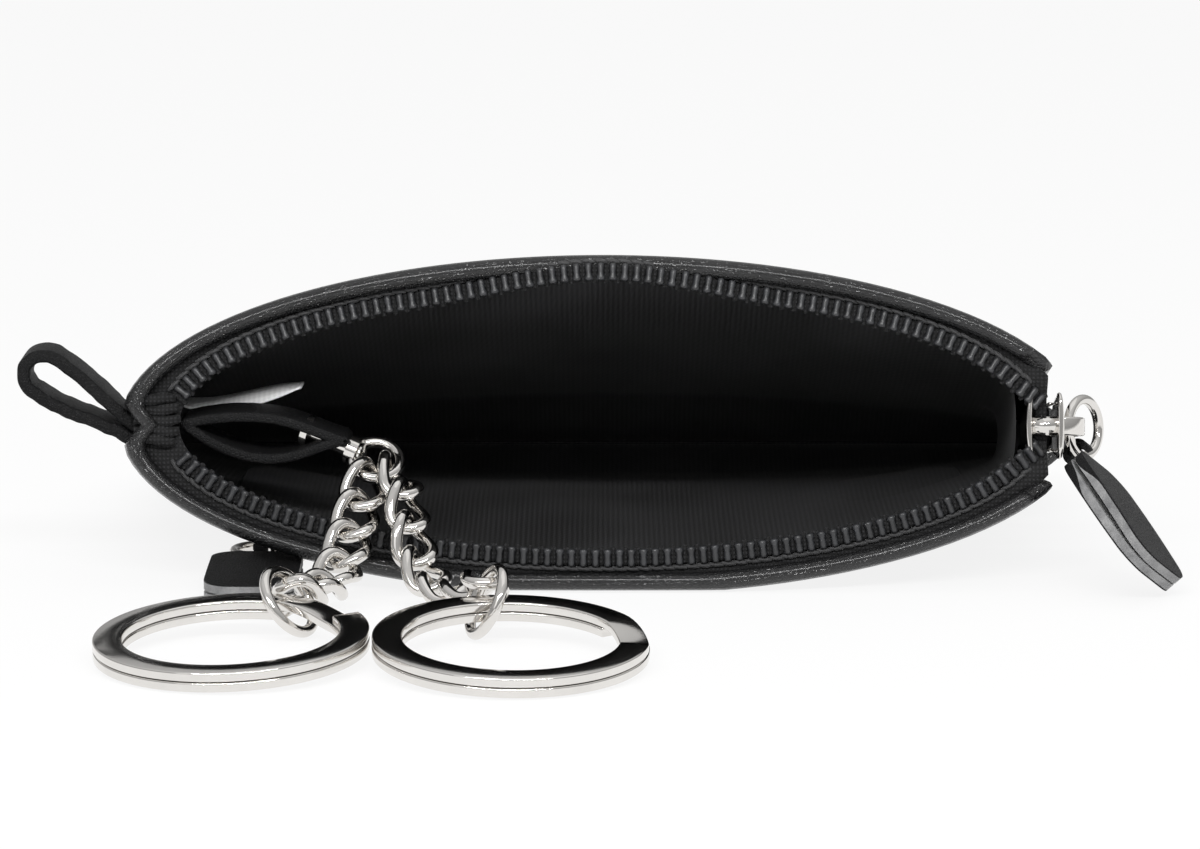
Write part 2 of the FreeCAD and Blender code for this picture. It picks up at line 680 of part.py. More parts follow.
pocket_eye = pocket_ring_centre + V(0, -size("pull_ring_radius"), 0)
nodes["pocket_pull_ring"] = pull_ring("PocketPullRing", pocket_ring_centre, UP)
nodes["pocket_pull_tab"] = pull_tab("PocketPullTab", pocket_eye, V(0, -1, 0), EAST)

# The hand loop at the left seam: a strip folded to a drop-shaped loop.

loop_body, loop_drawing = sketch_on("HandLoop", "XZ_Plane")
loop_outer = size("loop_radius")
loop_inner = loop_outer - size("loop_leather")
loop_far = size("loop_length")
root_half = size("loop_leather") + 0.05


def drop(drawing, root_x, root_y, radius):
    # a drop outline: two straight sides and a round end
    swing = math.atan2(root_y, loop_far - root_x)
    reach = math.hypot(root_y, loop_far - root_x)
    touch = math.acos(radius / reach)
    angle = math.pi - swing - touch
    tangent = V(loop_far + radius * math.cos(angle), radius * math.sin(angle), 0)
    mirrored = V(tangent.x, -tangent.y, 0)
    arc = Part.ArcOfCircle(Part.Circle(V(loop_far, 0, 0), UP, radius), -angle, angle)
    first = drawing.addGeometry(Part.LineSegment(V(root_x, root_y, 0), tangent))
    drawing.addGeometry(arc)
    drawing.addGeometry(Part.LineSegment(mirrored, V(root_x, -root_y, 0)))
    drawing.addConstraint(Sketcher.Constraint("Coincident", first, 2, first + 1, 2))
    drawing.addConstraint(Sketcher.Constraint("Coincident", first + 1, 1, first + 2, 1))
    if root_y > 1e-6:
        drawing.addGeometry(Part.LineSegment(V(root_x, -root_y, 0), V(root_x, root_y, 0)))
        drawing.addConstraint(Sketcher.Constraint("Coincident", first + 2, 2, first + 3, 1))
        drawing.addConstraint(Sketcher.Constraint("Coincident", first + 3, 2, first, 1))
    else:
        drawing.addConstraint(Sketcher.Constraint("Coincident", first + 2, 2, first, 1))
    return first


outer_first = drop(loop_drawing, 0.0, root_half, loop_outer)
measure(loop_drawing, "Radius", "end_radius", "loop_radius", loop_outer, outer_first + 1)
inner_first = drop(loop_drawing, 2.4, 0.0, loop_inner)
measure(loop_drawing, "Radius", "hole_radius", "loop_radius - loop_leather", loop_inner, inner_first + 1)
loop_pad = loop_body.newObject("PartDesign::Pad", "HandLoopPad")
loop_pad.Profile = loop_drawing
loop_pad.Midplane = True
loop_pad.setExpression("Length", formula("loop_width"))
loop_turn = math.radians(size("loop_rise"))
loop_way = V(-math.cos(loop_turn), 0, math.sin(loop_turn))
loop_root = seam(4.6, 1.4, -size("mouth_half_width") - 1.3)
loop_body.Placement = axes(loop_root, loop_way, V(0, -1, 0), loop_way.cross(V(0, -1, 0)))
nodes["hand_loop"] = loop_body

# The care label: a bare sheet, gently curved, sewn in at the left seam.

label_body, label_drawing = sketch_on("CareLabel", "XZ_Plane")
label_half = size("label_width") / 2
label_sag = 1.5
label_radius = (label_half ** 2 + label_sag ** 2) / (2 * label_sag)
label_swing = math.asin(label_half / label_radius)
label_outer = Part.Circle(V(0, label_radius, 0), UP, label_radius)
label_inner = Part.Circle(V(0, label_radius, 0), UP, label_radius - size("label_sheet"))
low_angle = -math.pi / 2 - label_swing
high_angle = -math.pi / 2 + label_swing
label_drawing.addGeometry(Part.ArcOfCircle(label_outer, low_angle, high_angle))
label_drawing.addGeometry(Part.ArcOfCircle(label_inner, low_angle, high_angle))
label_drawing.addGeometry(Part.LineSegment(label_outer.value(low_angle), label_inner.value(low_angle)))
label_drawing.addGeometry(Part.LineSegment(label_outer.value(high_angle), label_inner.value(high_angle)))
for line, side in ((2, 1), (3, 2)):
    label_drawing.addConstraint(Sketcher.Constraint("Coincident", 0, side, line, 1))
    label_drawing.addConstraint(Sketcher.Constraint("Coincident", 1, side, line, 2))
label_pad = label_body.newObject("PartDesign::Pad", "CareLabelPad")
label_pad.Profile = label_drawing
label_pad.setExpression("Length", formula("label_depth"))
label_lean = FreeCAD.Rotation(EAST, slope).multiply(FreeCAD.Rotation(V(0, 1, 0), -8.0))
label_body.Placement = FreeCAD.Placement(
    seam(size("label_back"), size("label_over"), -size("mouth_half_width") + upper_inset + size("label_side")),
    label_lean)
nodes["care_label"] = label_body

# The key strap inside the left end: a leather loop that holds the swivel pin.

strap_body, strap_drawing = sketch_on("KeyStrap", "XZ_Plane")
strap_half = size("strap_length") / 2


def leaf(drawing, half, swell):
    # two arcs that meet in a point at each end
    first = drawing.addGeometry(Part.Arc(V(half, 0, 0), V(0, swell, 0), V(-half, 0, 0)))
    drawing.addGeometry(Part.Arc(V(-half, 0, 0), V(0, -swell, 0), V(half, 0, 0)))
    drawing.addConstraint(Sketcher.Constraint("Coincident", first, 2, first + 1, 1))
    drawing.addConstraint(Sketcher.Constraint("Coincident", first + 1, 2, first, 1))
    return first


leaf(strap_drawing, strap_half, size("strap_swell"))
leaf(strap_drawing, strap_half - 2.6 * size("strap_leather"), size("strap_swell") - size("strap_leather"))
strap_pad = strap_body.newObject("PartDesign::Pad", "KeyStrapPad")
strap_pad.Profile = strap_drawing
strap_pad.Midplane = True
strap_pad.setExpression("Length", formula("strap_width"))
strap_root = seam(4.6, 0.9, -size("mouth_half_width") + lower_inset + 2.6)
strap_fall = math.asin((strap_root.z - size("strap_tip_height")) / size("strap_length"))
strap_way = V(math.cos(strap_fall), 0, -math.sin(strap_fall))
strap_middle = strap_root + strap_way * strap_half
strap_body.Placement = axes(strap_middle, strap_way, V(0, -1, 0), strap_way.cross(V(0, -1, 0)))
strap_tip = strap_middle + strap_way * strap_half
pin_way = unit(V(0.90, -0.30, -0.33))
pin_start = strap_tip - strap_way * (2.6 * size("strap_leather") + 1.1)
pin_hole = solid("Cylinder", "PinHole", FreeCAD.Placement(pin_start - pin_way * 3.0,
                                                          FreeCAD.Rotation(UP, pin_way)),
                 Radius="pin_radius + pin_clearance", Height=14.0)
head_room = solid("Cylinder", "PinHeadRoom", FreeCAD.Placement(pin_start - pin_way * 1.0,
                                                               FreeCAD.Rotation(UP, pin_way)),
                  Radius="pin_head_radius + pin_clearance", Height=2.0)
strap_holed = cut("KeyStrapHoled", strap_body, pin_hole)
nodes["key_strap"] = cut("KeyStrapSeat", strap_holed, head_room)

# The swivel: a headed pin through the strap and an eye that turns on it.

eye_at = 2.6 * size("strap_leather") + 1.5
barrel = 2.0 * size("eye_wire")
pin_body, pin_drawing = sketch_on("SwivelPin", "XZ_Plane")
pin_radius = size("pin_radius")
head = size("pin_head_radius")
rivet = 1.35 * pin_radius
pin_end = eye_at + barrel + size("pin_clearance")
pin_first = outline(pin_drawing, [(0, -0.8), (head, -0.8), (head, 0.0), (pin_radius, 0.0),
                                  (pin_radius, pin_end), (rivet, pin_end), (rivet, pin_end + 0.25),
                                  (0.6 * rivet, pin_end + 0.55), (0, pin_end + 0.55)])
measure(pin_drawing, "DistanceX", "head_radius", "pin_head_radius", head, pin_first, 1, pin_first, 2)
pin_turn = pin_body.newObject("PartDesign::Revolution", "SwivelPinTurn")
pin_turn.Profile = pin_drawing
pin_turn.ReferenceAxis = (pin_drawing, ["V_Axis"])
pin_turn.Angle = 360.0
pin_upright = FreeCAD.Rotation(UP, pin_way)
pin_body.Placement = FreeCAD.Placement(pin_start, pin_upright)
nodes["swivel_pin"] = pin_body

eye_pull = across(V(0.0, -0.80, -0.60), pin_way)
eye_normal = pin_way.cross(eye_pull)
eye_centre = pin_start + pin_way * (eye_at + barrel / 2 + size("eye_radius"))
eye_barrel = solid("Cylinder", "EyeBarrel", FreeCAD.Placement(pin_start + pin_way * eye_at, pin_upright),
                   Radius="pin_radius + pin_clearance + 0.65", Height="2 * eye_wire")
eye_ring = solid("Torus", "EyeRing", axes(eye_centre, pin_way, eye_pull, eye_normal),
                 Radius1="eye_radius", Radius2="eye_wire")
eye_whole = fuse("EyeWhole", [eye_barrel, eye_ring])
eye_bore = solid("Cylinder", "EyeBore", FreeCAD.Placement(pin_start, pin_upright),
                 Radius="pin_radius + pin_clearance", Height=eye_at + barrel + 0.2)
eye_bored = cut("SwivelEyeBored", eye_whole, eye_bore)
rivet_seat = solid("Cylinder", "RivetSeat",
                   FreeCAD.Placement(pin_start + pin_way * (eye_at + barrel), pin_upright),
                   Radius="1.35 * pin_radius + pin_clearance", Height=1.0)
nodes["swivel_eye"] = cut("SwivelEye", eye_bored, rivet_seat)

# The chains: curb links, each a wire bent to a twisted oval. Its middle line runs through
# arcs in pairs that meet with a common tangent.

half_length = size("link_half_length")
half_width = size("link_half_width")
twist = size("link_twist")
wire = size("link_wire")
play = size("link_play")
pitch = 2.0 * (half_length - wire) - play


def link_point(angle):
    return V(half_length * math.cos(angle), half_width * math.sin(angle), twist * math.sin(2 * angle))


def link_way(angle):
    return unit(V(-half_length * math.sin(angle), half_width * math.cos(angle), 2 * twist * math.cos(2 * angle)))


def arc_middle(start, way, end):
    # the middle of the arc that leaves the start along a direction and reaches the end
    chord = end - start
    line = unit(chord)
    normal = unit(way.cross(line))
    bulge = normal.cross(line)
    half = math.acos(max(-1.0, min(1.0, way.dot(line))))
    side = 1.0 if way.dot(bulge) > 0 else -1.0
    return (start + end) * 0.5 + bulge * (side * 0.5 * chord.Length * math.tan(half / 2))


def arc_pair(angle0, angle1):
    start, end = link_point(angle0), link_point(angle1)
    way0, way1 = link_way(angle0), link_way(angle1)
    gap = end - start
    both = way0 + way1
    a = 2.0 * (1.0 - way0.dot(way1))
    b = 2.0 * gap.dot(both)
    c = -gap.dot(gap)
    reach = (-b + math.sqrt(b * b - 4.0 * a * c)) / (2.0 * a)
    joint = (start + way0 * reach + end - way1 * reach) * 0.5
    return [Part.Arc(start, arc_middle(start, way0, joint), joint).toShape(),
            Part.Arc(joint, arc_middle(end, way1 * -1.0, joint), end).toShape()]


def link_shape():
    halves = []
    for begin in (0, 4):
        edges = []
        for step in range(begin, begin + 4):
            edges += arc_pair(math.pi * step / 4, math.pi * (step + 1) / 4)
        angle = math.pi * begin / 4
        profile = Part.Wire([Part.makeCircle(wire, link_point(angle), link_way(angle))])
        halves.append(Part.Wire(edges).makePipeShell([profile], True, False))
    return halves[0].fuse(halves[1]).Solids[0]


one_link = link_shape()


def heading(azimuth, elevation):
    # a direction: azimuth from straight ahead (-Y) to the right, elevation over the table
    turn = math.radians(azimuth)
    lift = math.radians(elevation)
    return V(math.sin(turn) * math.cos(lift), -math.cos(turn) * math.cos(lift), math.sin(lift))


def chain_path(swing, ways, dip):
    # frames of the links from the eye onwards, each way an azimuth, an elevation and a roll;
    # the hanging links dip by an angle more
    radial = unit(eye_pull * math.cos(math.radians(swing)) + pin_way * math.sin(math.radians(swing)))
    near = eye_centre + radial * (size("eye_radius") - size("eye_wire") - wire - play)
    pivot = near
    frames = []
    for index, (azimuth, elevation, roll) in enumerate(ways):
        way = heading(azimuth, elevation - (dip if 0 < index < 3 else 0.0))
        if index == 0:
            centre = near + way * half_length
        else:
            centre = pivot + way * (pitch / 2)
        level = across(UP, way)
        turn = math.radians(roll)
        flat = level * math.cos(turn) + level.cross(way) * math.sin(turn)
        frames.append((pivot, centre, way, flat))
        pivot = centre + way * (pitch / 2)
    return frames


split_height = 2.0 * size("split_turn") + size("split_groove")
split_middle = size("split_outer") - size("split_band") / 2


def jump_frame(frames, azimuth, lean):
    # a jump ring through the last link: it stands along an azimuth and leans by an angle
    pivot, centre, way, flat = frames[-1]
    far = centre + way * half_length
    ahead = heading(azimuth, 0.0)
    tip = math.radians(lean)
    upward = UP * math.cos(tip) + UP.cross(ahead) * math.sin(tip)
    normal = ahead.cross(upward)
    room = size("jump_radius") - size("jump_wire") - wire - play
    hook = unit(ahead * -0.576 + upward * 0.817)
    middle = far - hook * room
    lowest = middle.z - size("jump_radius") * math.cos(tip) - size("jump_wire")
    return middle, ahead, upward, normal, lowest


def chain(name, swing, ways, azimuth, lean):
    # a chain that hangs just so far that its jump ring stands on the table
    low, high = -30.0, 30.0
    for step in range(40):
        dip = 0.5 * (low + high)
        if jump_frame(chain_path(swing, ways, dip), azimuth, lean)[4] > 0.05:
            low = dip
        else:
            high = dip
    frames = chain_path(swing, ways, dip)
    for index, (pivot, centre, way, flat) in enumerate(frames, 1):
        nodes["%s_chain_link_%d" % (name, index)] = feature(
            "%sLink%d" % (name.title(), index), one_link.copy(), axes(centre, way, flat.cross(way), flat))
        print("joint", name, index, [round(c, 3) for c in pivot], [round(c, 4) for c in way],
              [round(c, 4) for c in flat])
    middle, ahead, upward, normal, lowest = jump_frame(frames, azimuth, lean)
    nodes["%s_jump_ring" % name] = solid("Torus", "%sJumpRing" % name.title(),
                                         axes(middle, ahead, upward, normal),
                                         Radius1="jump_radius", Radius2="jump_wire")
    pivot, centre, way, flat = frames[-1]
    hook = centre + way * half_length
    print("jump", name, "dip", round(dip, 2), "centre", [round(c, 3) for c in middle], "lowest", round(lowest, 3),
          "hook", [round(c, 3) for c in hook], "ahead", [round(c, 4) for c in ahead],
          "upward", [round(c, 4) for c in upward])
    return middle + ahead * 0.58 - upward * 0.68


def split_ring(name, hold, centre_xy):
    # a flat ring of two turns, one side held up by the jump ring, the other on the table
    ahead = V(centre_xy.x - hold.x, centre_xy.y - hold.y, 0)
    ahead.normalize()
    drop_to = hold.z - split_height / 2
    fall = math.asin(drop_to / (split_middle + size("split_outer")))
    forward = V(ahead.x * math.cos(fall), ahead.y * math.cos(fall), -math.sin(fall))
    normal = across(UP, forward)
    centre = hold + forward * split_middle
    body, drawing = sketch_on("%sSplitRing" % name.title(), "XZ_Plane")
    r0 = size("split_outer") - size("split_band")
    r1 = size("split_outer")
    turn = size("split_turn")
    groove = size("split_groove")
    deep = 0.7
    first = outline(drawing, [(r0, -turn - groove / 2), (r1, -turn - groove / 2), (r1, -groove / 2),
                              (r1 - deep, 0), (r1, groove / 2), (r1, turn + groove / 2),
                              (r0, turn + groove / 2), (r0, groove / 2), (r0 + deep, 0), (r0, -groove / 2)])
    measure(drawing, "DistanceX", "band", "split_band", r1 - r0, first, 1, first, 2)
    spin = body.newObject("PartDesign::Revolution", name.title() + "SplitTurn")
    spin.Profile = drawing
    spin.ReferenceAxis = (drawing, ["V_Axis"])
    spin.Angle = 360.0
    body.Placement = axes(centre, forward, normal.cross(forward), normal)
    nodes["%s_split_ring" % name] = body
    print("split", name, "hold", [round(c, 3) for c in hold], "centre", [round(c, 3) for c in centre])
    return centre


LEFT_AHEAD = -25.0
left_hold = chain("left", 2.9, [(-12.2, -33.8, 34.6), (-11.6, -34.1, 23.3), (-10.7, -33.0, 12.0),
                                (-16.6, -18.8, 9.0), (-18.1, 3.9, 6.1), (-30.5, 16.4, 6.6)], LEFT_AHEAD, -34.4)
left_centre = split_ring("left", left_hold, left_hold + heading(LEFT_AHEAD, 0.0) * split_middle)
right_hold = chain("right", 104.8, [(25.3, -25.3, 31.7), (9.4, -40.1, 35.7), (15.9, -45.6, 23.0),
                                    (23.8, -25.7, 14.0), (30.6, -3.1, 9.3), (33.5, 13.0, 18.4),
                                    (19.2, 22.6, 44.1)], 16.7, 24.1)

# The right split ring lies beside the left one: its centre keeps a set distance from both
# the left centre and its own jump ring.
span = 2.0 * size("split_outer") + size("split_gap")
offset = V(right_hold.x - left_centre.x, right_hold.y - left_centre.y, 0)
apart = offset.Length
reach = (apart * apart + span * span - split_middle * split_middle) / (2.0 * apart)
side_reach = math.sqrt(max(span * span - reach * reach, 0.0))
base_way = unit(offset)
side_way = V(base_way.y, -base_way.x, 0)
right_spot = V(left_centre.x, left_centre.y, 0) + base_way * reach + side_way * side_reach
right_centre = split_ring("right", right_hold, right_spot)

doc.recompute()

os.makedirs("parts", exist_ok=True)
for thing in doc.Objects:
    if "Invalid" in thing.State or "Error" in thing.State:
        raise RuntimeError("not built: " + thing.Name)
for name, thing in nodes.items():
    shape = thing.Shape
    if shape.isNull() or not shape.isValid() or not shape.Solids:
        raise RuntimeError("no valid solid: " + name)
    whole = shape if len(shape.Solids) > 1 else shape.Solids[0]
    whole.exportStep("parts/%s.step" % name)
print("frame: slope", round(slope, 3), "along", [round(c, 4) for c in along], "rise", [round(c, 4) for c in rise])
print("bow", [round(c, 3) for c in bow], "ring", [round(c, 3) for c in ring_centre],
      "tab eye", [round(c, 3) for c in tab_eye], "tab cross", [round(c, 4) for c in tab_cross])
print("pocket bow", [round(c, 3) for c in pocket_bow], "eye", [round(c, 3) for c in pocket_eye],
      "centre", [round(c, 3) for c in pocket_centre])
print("pin", [round(c, 3) for c in pin_start], "eye centre", [round(c, 3) for c in eye_centre])
print("wrote", len(nodes), "parts")
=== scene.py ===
import bmesh
import bpy
import json
from math import acos, asin, atan2, copysign, cos, exp, pi, radians, sin, sqrt, tau
from mathutils import Matrix, Vector, noise


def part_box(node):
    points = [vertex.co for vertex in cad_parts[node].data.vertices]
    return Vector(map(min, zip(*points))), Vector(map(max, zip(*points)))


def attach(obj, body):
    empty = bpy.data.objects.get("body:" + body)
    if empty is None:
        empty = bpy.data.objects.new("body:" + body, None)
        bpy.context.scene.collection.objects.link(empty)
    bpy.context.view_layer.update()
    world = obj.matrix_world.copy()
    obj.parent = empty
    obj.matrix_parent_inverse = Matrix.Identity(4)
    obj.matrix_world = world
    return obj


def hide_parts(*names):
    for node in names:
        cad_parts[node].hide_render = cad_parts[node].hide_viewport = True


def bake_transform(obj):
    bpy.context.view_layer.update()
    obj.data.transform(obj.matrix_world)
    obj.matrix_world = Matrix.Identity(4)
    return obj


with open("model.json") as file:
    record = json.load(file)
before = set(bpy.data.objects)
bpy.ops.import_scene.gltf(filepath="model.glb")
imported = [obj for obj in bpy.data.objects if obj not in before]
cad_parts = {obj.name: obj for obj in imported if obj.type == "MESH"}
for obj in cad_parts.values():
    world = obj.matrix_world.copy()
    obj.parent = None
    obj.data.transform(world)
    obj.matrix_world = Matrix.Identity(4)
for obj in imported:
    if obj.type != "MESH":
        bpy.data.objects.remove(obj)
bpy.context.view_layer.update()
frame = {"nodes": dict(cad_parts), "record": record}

east = Vector((1, 0, 0))
north = Vector((0, 1, 0))
up = Vector((0, 0, 1))
joints = {joint["name"]: joint for joint in frame["record"]["behaviour"]["joints"]}


def jointSpot(name):
    return Vector(joints[name]["pos_m"])


def across(vector, axis):  # the part of a vector at right angles to an axis
    return (vector - axis * vector.dot(axis)).normalized()


def placed(origin, xAxis, yAxis, zAxis):  # a frame of three axes at a spot
    matrix = Matrix((xAxis, yAxis, zAxis)).transposed().to_4x4()
    matrix.translation = origin
    return matrix


def smooth(value):
    value = min(max(value, 0.0), 1.0)
    return value * value * (3 - 2 * value)


def steps(count):  # even shares from 0 to 1
    return [step / count for step in range(count + 1)]


def circle(sides):  # even angles once round
    return [tau * step / sides for step in range(sides)]


def roundedOff(radius, past):  # how far a rounded corner draws an edge in
    return radius - sqrt(max(radius ** 2 - max(past, 0.0) ** 2, 0.0))


def boxy(value, power):  # a sine or cosine pushed towards a square shape
    return copysign(abs(value) ** power, value)


# shader maths: a socket that takes operators

class Shade:
    def __init__(self, finish, socket):
        self.finish = finish
        self.socket = socket

    def math(self, operation, first, second):
        return self.finish.node("ShaderNodeMath", {"operation": operation}, {0: first, 1: second})

    def __add__(self, other):
        return self.math("ADD", self, other)

    def __radd__(self, other):
        return self.math("ADD", other, self)

    def __sub__(self, other):
        return self.math("SUBTRACT", self, other)

    def __rsub__(self, other):
        return self.math("SUBTRACT", other, self)

    def __mul__(self, other):
        return self.math("MULTIPLY", self, other)

    def __rmul__(self, other):
        return self.math("MULTIPLY", other, self)


waveRate = 3.18  # bands per metre of a wave texture at scale 1


class Finish:
    def __init__(self, name, library="materials", shader="Principled BSDF"):
        self.block = getattr(bpy.data, library).new(name)
        self.block.use_nodes = True
        self.nodes = self.block.node_tree.nodes
        self.links = self.block.node_tree.links
        self.shader = self.nodes[shader]

    def node(self, kind, settings=None, values=None, out=0):
        made = self.nodes.new(kind)
        for key, value in (settings or {}).items():
            if key == "stops":
                self.setStops(made.color_ramp.elements, value)
            else:
                setattr(made, key, value)
        for key, value in (values or {}).items():
            self.feed(made.inputs[key], value)
        return Shade(self, made.outputs[out])

    def setStops(self, elements, stops):  # a ramp's stops: place, and grey or colour
        while len(elements) < len(stops):
            elements.new(0.5)
        for element, (place, colour) in zip(elements, stops):
            element.position = place
            element.color = colour if isinstance(colour, tuple) else grey(colour)

    def feed(self, socket, value):
        if isinstance(value, Shade):
            self.links.new(value.socket, socket)
        else:
            socket.default_value = value

    def set(self, **values):
        for key, value in values.items():
            self.feed(self.shader.inputs[key.replace("_", " ")], value)

    def cover(self, look, colour, wear, height):  # what most finishes set, from their look
        self.set(Base_Color=colour, Roughness=look["rough"] + look["spread"] * wear,
                 Normal=self.bump(height, look["bump"], look["depth"]),
                 Sheen_Weight=look["sheen"], Specular_IOR_Level=look["shine"])

    def place(self, scale=(1, 1, 1), turn=(0, 0, 0)):  # a spot on the piece, in its own metres
        spot = self.node("ShaderNodeTexCoord", out="Object")
        return self.node("ShaderNodeMapping", {}, {"Vector": spot, "Scale": scale, "Rotation": turn})

    def noise(self, scale, detail=4.0, rough=0.55, spot=None):
        return self.node("ShaderNodeTexNoise", {}, {"Vector": spot or self.place(), "Scale": scale,
                                                    "Detail": detail, "Roughness": rough})

    def wave(self, step, direction, distortion, detail=2.0):  # threads that lie one step wide
        return self.node("ShaderNodeTexWave", {"bands_direction": direction},
                         {"Vector": self.place(), "Scale": 1 / (2 * waveRate * step),
                          "Distortion": distortion, "Detail": detail})

    def ramp(self, value, *stops):
        return self.node("ShaderNodeValToRGB", {"stops": stops}, {0: value})

    def mix(self, share, first, second):
        return self.node("ShaderNodeMix", {"data_type": "RGBA"}, {0: share, 6: first, 7: second}, out=2)

    def bump(self, height, strength, distance):
        return self.node("ShaderNodeBump", {},
                         {"Height": height, "Strength": strength, "Distance": distance})


def grey(value, blue=1.0, green=1.0, red=1.0):
    return (value * red, value * green, value * blue, 1)


# looks: brightness, sizes in metres, noise scales per metre and how strongly the relief shows
leatherLook = dict(dark=0.005, light=0.013, worn=1.7, grain=0.00042, pores=2.2, crease=0.004, cloud=38.0,
                   relief=(0.7, 0.15, 0.6), bump=0.5, depth=0.0003, gloss=0.12, matte=0.27,
                   shine=0.38, coat=0.42, coatRough=0.2)
strapLook = dict(leatherLook, dark=0.0045, light=0.011, grain=0.00036, crease=0.005, depth=0.00024,
                 gloss=0.42, matte=0.6, shine=0.16, coat=0.0, coatRough=0.3)


def leatherFinish(name, look):
    skin = Finish(name)
    cells = skin.node("ShaderNodeTexVoronoi", {"feature": "DISTANCE_TO_EDGE"},
                      {"Vector": skin.place(), "Scale": 1 / look["grain"], "Randomness": 1.0})
    pebble = skin.ramp(cells, (0.0, 0.0), (0.22, 0.8), (0.5, 1.0))
    fine = skin.noise(look["pores"] / look["grain"], 3.0)
    creases = skin.noise(1 / look["crease"], 5.0, 0.6)
    cloud = skin.noise(look["cloud"], 3.0)
    tone = skin.ramp(cloud, (0.3, grey(look["dark"], 1.06)), (0.72, grey(look["light"], 1.05)))
    worn = skin.ramp(creases, (0.55, 0.0), (0.8, 0.35))
    rubbed = skin.ramp(cloud * 0.6 + fine * 0.4, (0.3, 0.0), (0.7, 1.0))
    pebbled, pored, creased = look["relief"]
    height = pebble * pebbled + fine * pored + creases * creased
    skin.set(Base_Color=skin.mix(worn, tone, grey(look["light"] * look["worn"], 1.0, 0.99)),
             Roughness=look["gloss"] + (look["matte"] - look["gloss"]) * rubbed,
             Normal=skin.bump(height, look["bump"], look["depth"]), Specular_IOR_Level=look["shine"],
             Coat_Weight=look["coat"], Coat_Roughness=look["coatRough"])
    return skin.block


suedeLook = dict(dark=0.12, light=0.36, fibre=0.00014, cloud=420.0, bump=0.5, depth=0.00012, rough=0.85,
                 spread=0.1, sheen=0.25, shine=0.25)


def suedeFinish(name, look):
    nap = Finish(name)
    fibres = nap.noise(1 / look["fibre"], 4.0, 0.7)
    cloud = nap.noise(look["cloud"])
    colour = nap.ramp(cloud * 0.6 + fibres * 0.4, (0.32, grey(look["dark"], 1.04)), (0.68, look["light"]))
    nap.cover(look, colour, fibres, fibres)
    return nap.block


liningLook = dict(dark=0.012, light=0.034, rib=0.0003, weft=0.0002, cloud=60.0, bump=0.35, depth=0.00008,
                  rough=0.36, spread=0.22, sheen=0.06, sheenRough=0.35, shine=0.42)


def liningFinish(name, look):
    satin = Finish(name)
    ribs = satin.wave(look["rib"], "X", 0.6, 1.0)
    threads = satin.wave(look["weft"], "DIAGONAL", 0.8)
    cloud = satin.noise(look["cloud"])
    colour = satin.ramp(cloud * 0.7 + ribs * 0.3, (0.3, look["dark"]), (0.75, grey(look["light"], 1.05)))
    satin.cover(look, colour, cloud, ribs * 0.7 + threads * 0.3)
    satin.set(Sheen_Roughness=look["sheenRough"])
    return satin.block


tapeLook = dict(dark=0.006, light=0.026, weave=0.00024, fuzz=2600.0, bump=0.8, depth=0.00016, rough=0.62,
                spread=0.25, sheen=0.05, shine=0.22)


def tapeFinish(name, look):
    web = Finish(name)
    fuzz = web.noise(look["fuzz"], 3.0)
    weave = web.wave(look["weave"], "X", 0.5) * web.wave(look["weave"], "Z", 0.5) * 0.8 + fuzz * 0.35
    colour = web.ramp(weave, (0.1, look["dark"]), (0.75, grey(look["light"], 1.06)))
    web.cover(look, colour, fuzz, weave)
    return web.block


nylonLook = dict(dark=0.012, light=0.034, cloud=700.0, fine=3800.0, bump=0.25, depth=0.00006, rough=0.33,
                 spread=0.16, sheen=0.0, shine=0.7)


def nylonFinish(name, look):
    nylon = Finish(name)
    cloud = nylon.noise(look["cloud"])
    fine = nylon.noise(look["fine"], 3.0)
    dark, light = grey(look["dark"], 1.1, 1.02), grey(look["light"], 1.12, 1.0, 0.96)
    nylon.cover(look, nylon.ramp(cloud, (0.3, dark), (0.75, light)), cloud, fine * 0.6 + cloud * 0.4)
    return nylon.block


nickelLook = dict(pale=(0.83, 0.81, 0.78, 1), deep=(0.70, 0.68, 0.655, 1), polish=0.05, dull=0.17,
                  cloud=240.0, scratch=900.0, stretch=(1.0, 9.0, 3.0), turn=(0.3, 0.2, 0.7), bump=0.06,
                  depth=0.0001)


def nickelFinish(name, look):
    plate = Finish(name)
    cloud = plate.noise(look["cloud"])
    scratches = plate.noise(look["scratch"], 5.0, 0.6, plate.place(look["stretch"], look["turn"]))
    marks = plate.ramp(scratches, (0.48, 0.0), (0.72, 1.0))
    plate.set(Base_Color=plate.mix(cloud, look["deep"], look["pale"]), Metallic=1.0,
              Roughness=look["polish"] + (look["dull"] - look["polish"]) * (marks * 0.55 + cloud * 0.3),
              Normal=plate.bump(scratches * 0.6 + cloud, look["bump"], look["depth"]))
    return plate.block


ribbonLook = dict(shade=0.78, white=0.93, weave=0.0003, cloud=120.0, bump=0.4, depth=0.00005, rough=0.5,
                  spread=0.2, sheen=0.15, shine=0.5)


def ribbonFinish(name, look):
    ribbon = Finish(name)
    warp = ribbon.wave(look["weave"], "X", 0.3)
    weft = ribbon.wave(look["weave"], "Y", 0.3)
    cloud = ribbon.noise(look["cloud"], 3.0)
    colour = ribbon.ramp(cloud * 0.5 + warp * 0.3 + weft * 0.2, (0.2, look["shade"]), (0.7, look["white"]))
    ribbon.cover(look, colour, cloud, warp * weft)
    return ribbon.block


threadLook = dict(dark=0.012, light=0.05, twist=5200.0, bump=0.5, depth=0.00008, rough=0.5, spread=0.2,
                  sheen=0.2, shine=0.5)


def threadFinish(name, look):
    thread = Finish(name)
    twist = thread.noise(look["twist"], 2.0)
    colour = thread.ramp(twist, (0.3, look["dark"]), (0.7, grey(look["light"], 1.05)))
    thread.cover(look, colour, twist, twist)
    return thread.block


